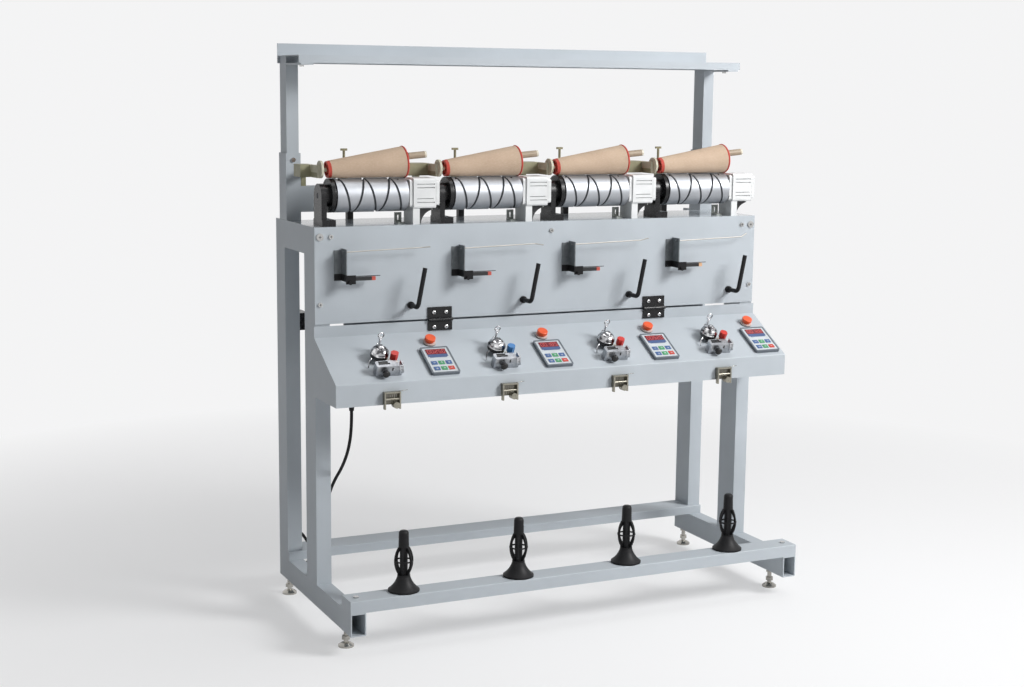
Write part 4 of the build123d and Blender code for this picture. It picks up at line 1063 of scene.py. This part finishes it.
# %% Paper sweep
paper_white = (0.905, 0.905, 0.91, 1)
sheet_front, bend_start, bend_radius, sheet_top, sheet_half_width = -9.0, 3.5, 2.0, 7.0, 12
profile = [(sheet_front, 0.0), (bend_start, 0.0)]
for degrees in range(10, 100, 10):
    angle = math.radians(degrees)
    profile.append((
        bend_start + bend_radius * math.sin(angle), bend_radius - bend_radius * math.cos(angle),
    ))
profile.append((bend_start + bend_radius, sheet_top))
shape = bmesh.new()
left, right_side = (
    [shape.verts.new((x, y, z)) for y, z in profile] for x in (-sheet_half_width, sheet_half_width)
)
for k in range(len(profile) - 1):
    shape.faces.new((left[k], right_side[k], right_side[k + 1], left[k + 1]))
data = bpy.data.meshes.new("studio_sweep")
shape.to_mesh(data)
shape.free()
for face in data.polygons:
    face.use_smooth = True
sweep = bpy.data.objects.new("studio_sweep", data)
bpy.context.scene.collection.objects.link(sweep)

sheet = Finish("studio_paper", specular_ior_level=0.1)
sheet.set("Base Color", (0.90, 0.90, 0.905))
sheet.set("Roughness", 0.9)
across, along, _ = sheet.axes()
far_out = 0.5 + 0.5 * (across * across + along * along).ramp(0.6, 6.0)
glow = sheet.node("ShaderNodeEmission", None, {"Color": paper_white, "Strength": 1.0})
mixed = sheet.node("ShaderNodeMixShader", None, {
    0: sheet.seen_directly() * far_out, 1: Value(sheet, sheet.shader.outputs[0]), 2: glow,
})
sheet.tree.links.new(mixed.socket, sheet.tree.nodes["Material Output"].inputs["Surface"])
data.materials.append(sheet.material)
print("sweep ready")

# %% [markdown]
# ## Lamps
# A large soft lamp at the upper right front makes the shapes read, and a weak one from
# the left keeps the shaded sides open. One lamp above lights the deck and the desk, and
# a small one lifts the shelf's front.

# %% Four soft lamps
def lamp(name, place, target, size, watts):
    light = bpy.data.lights.new(name, "AREA")
    light.shape = "DISK"
    light.size = size
    light.energy = watts
    holder = bpy.data.objects.new(name, light)
    holder.location = place
    aim = Vector(target) - Vector(place)
    holder.rotation_euler = aim.to_track_quat("-Z", "Y").to_euler()
    bpy.context.scene.collection.objects.link(holder)


lamp("key_lamp", (2.5, -2.5, 2.9), (0, 0, 0.75), 1.5, 150)
lamp("fill_lamp", (-3.0, -4.4, 2.0), (0, 0, 0.7), 2.6, 4)
lamp("top_lamp", (0.6, 0.2, 4.2), (0, 0, 0.7), 2.4, 34)
lamp("shelf_lamp", (1.0, -1.7, 1.75), (0.1, 0, 1.25), 1.0, 9)
print("lamps", len(bpy.data.lights))

# %% [markdown]
# ## The world
# A dim, slightly blue sky light opens the shadows. What the camera sees behind the
# sheet, and what metal and glass mirror, is the same white as the sheet's.

# %% White to the eye, dim on the machine
world = bpy.data.worlds.new("studio_world")
bpy.context.scene.world = world
world.use_nodes = True
world.node_tree.nodes.clear()
sky = Graph(world.node_tree)
dim = sky.node("ShaderNodeBackground", None, {"Color": (0.95, 0.97, 1.0, 1), "Strength": 0.17})
white = sky.node("ShaderNodeBackground", None, {"Color": paper_white, "Strength": 1.0})
choose = sky.node("ShaderNodeMixShader", None, {0: sky.seen_directly(), 1: dim, 2: white})
sky.node("ShaderNodeOutputWorld", None, {"Surface": choose})
bpy.context.scene.view_settings.view_transform = "Standard"
print("world ready")

# %% [markdown]
# ## Update the scene

# %% Update the scene
bpy.context.view_layer.update()
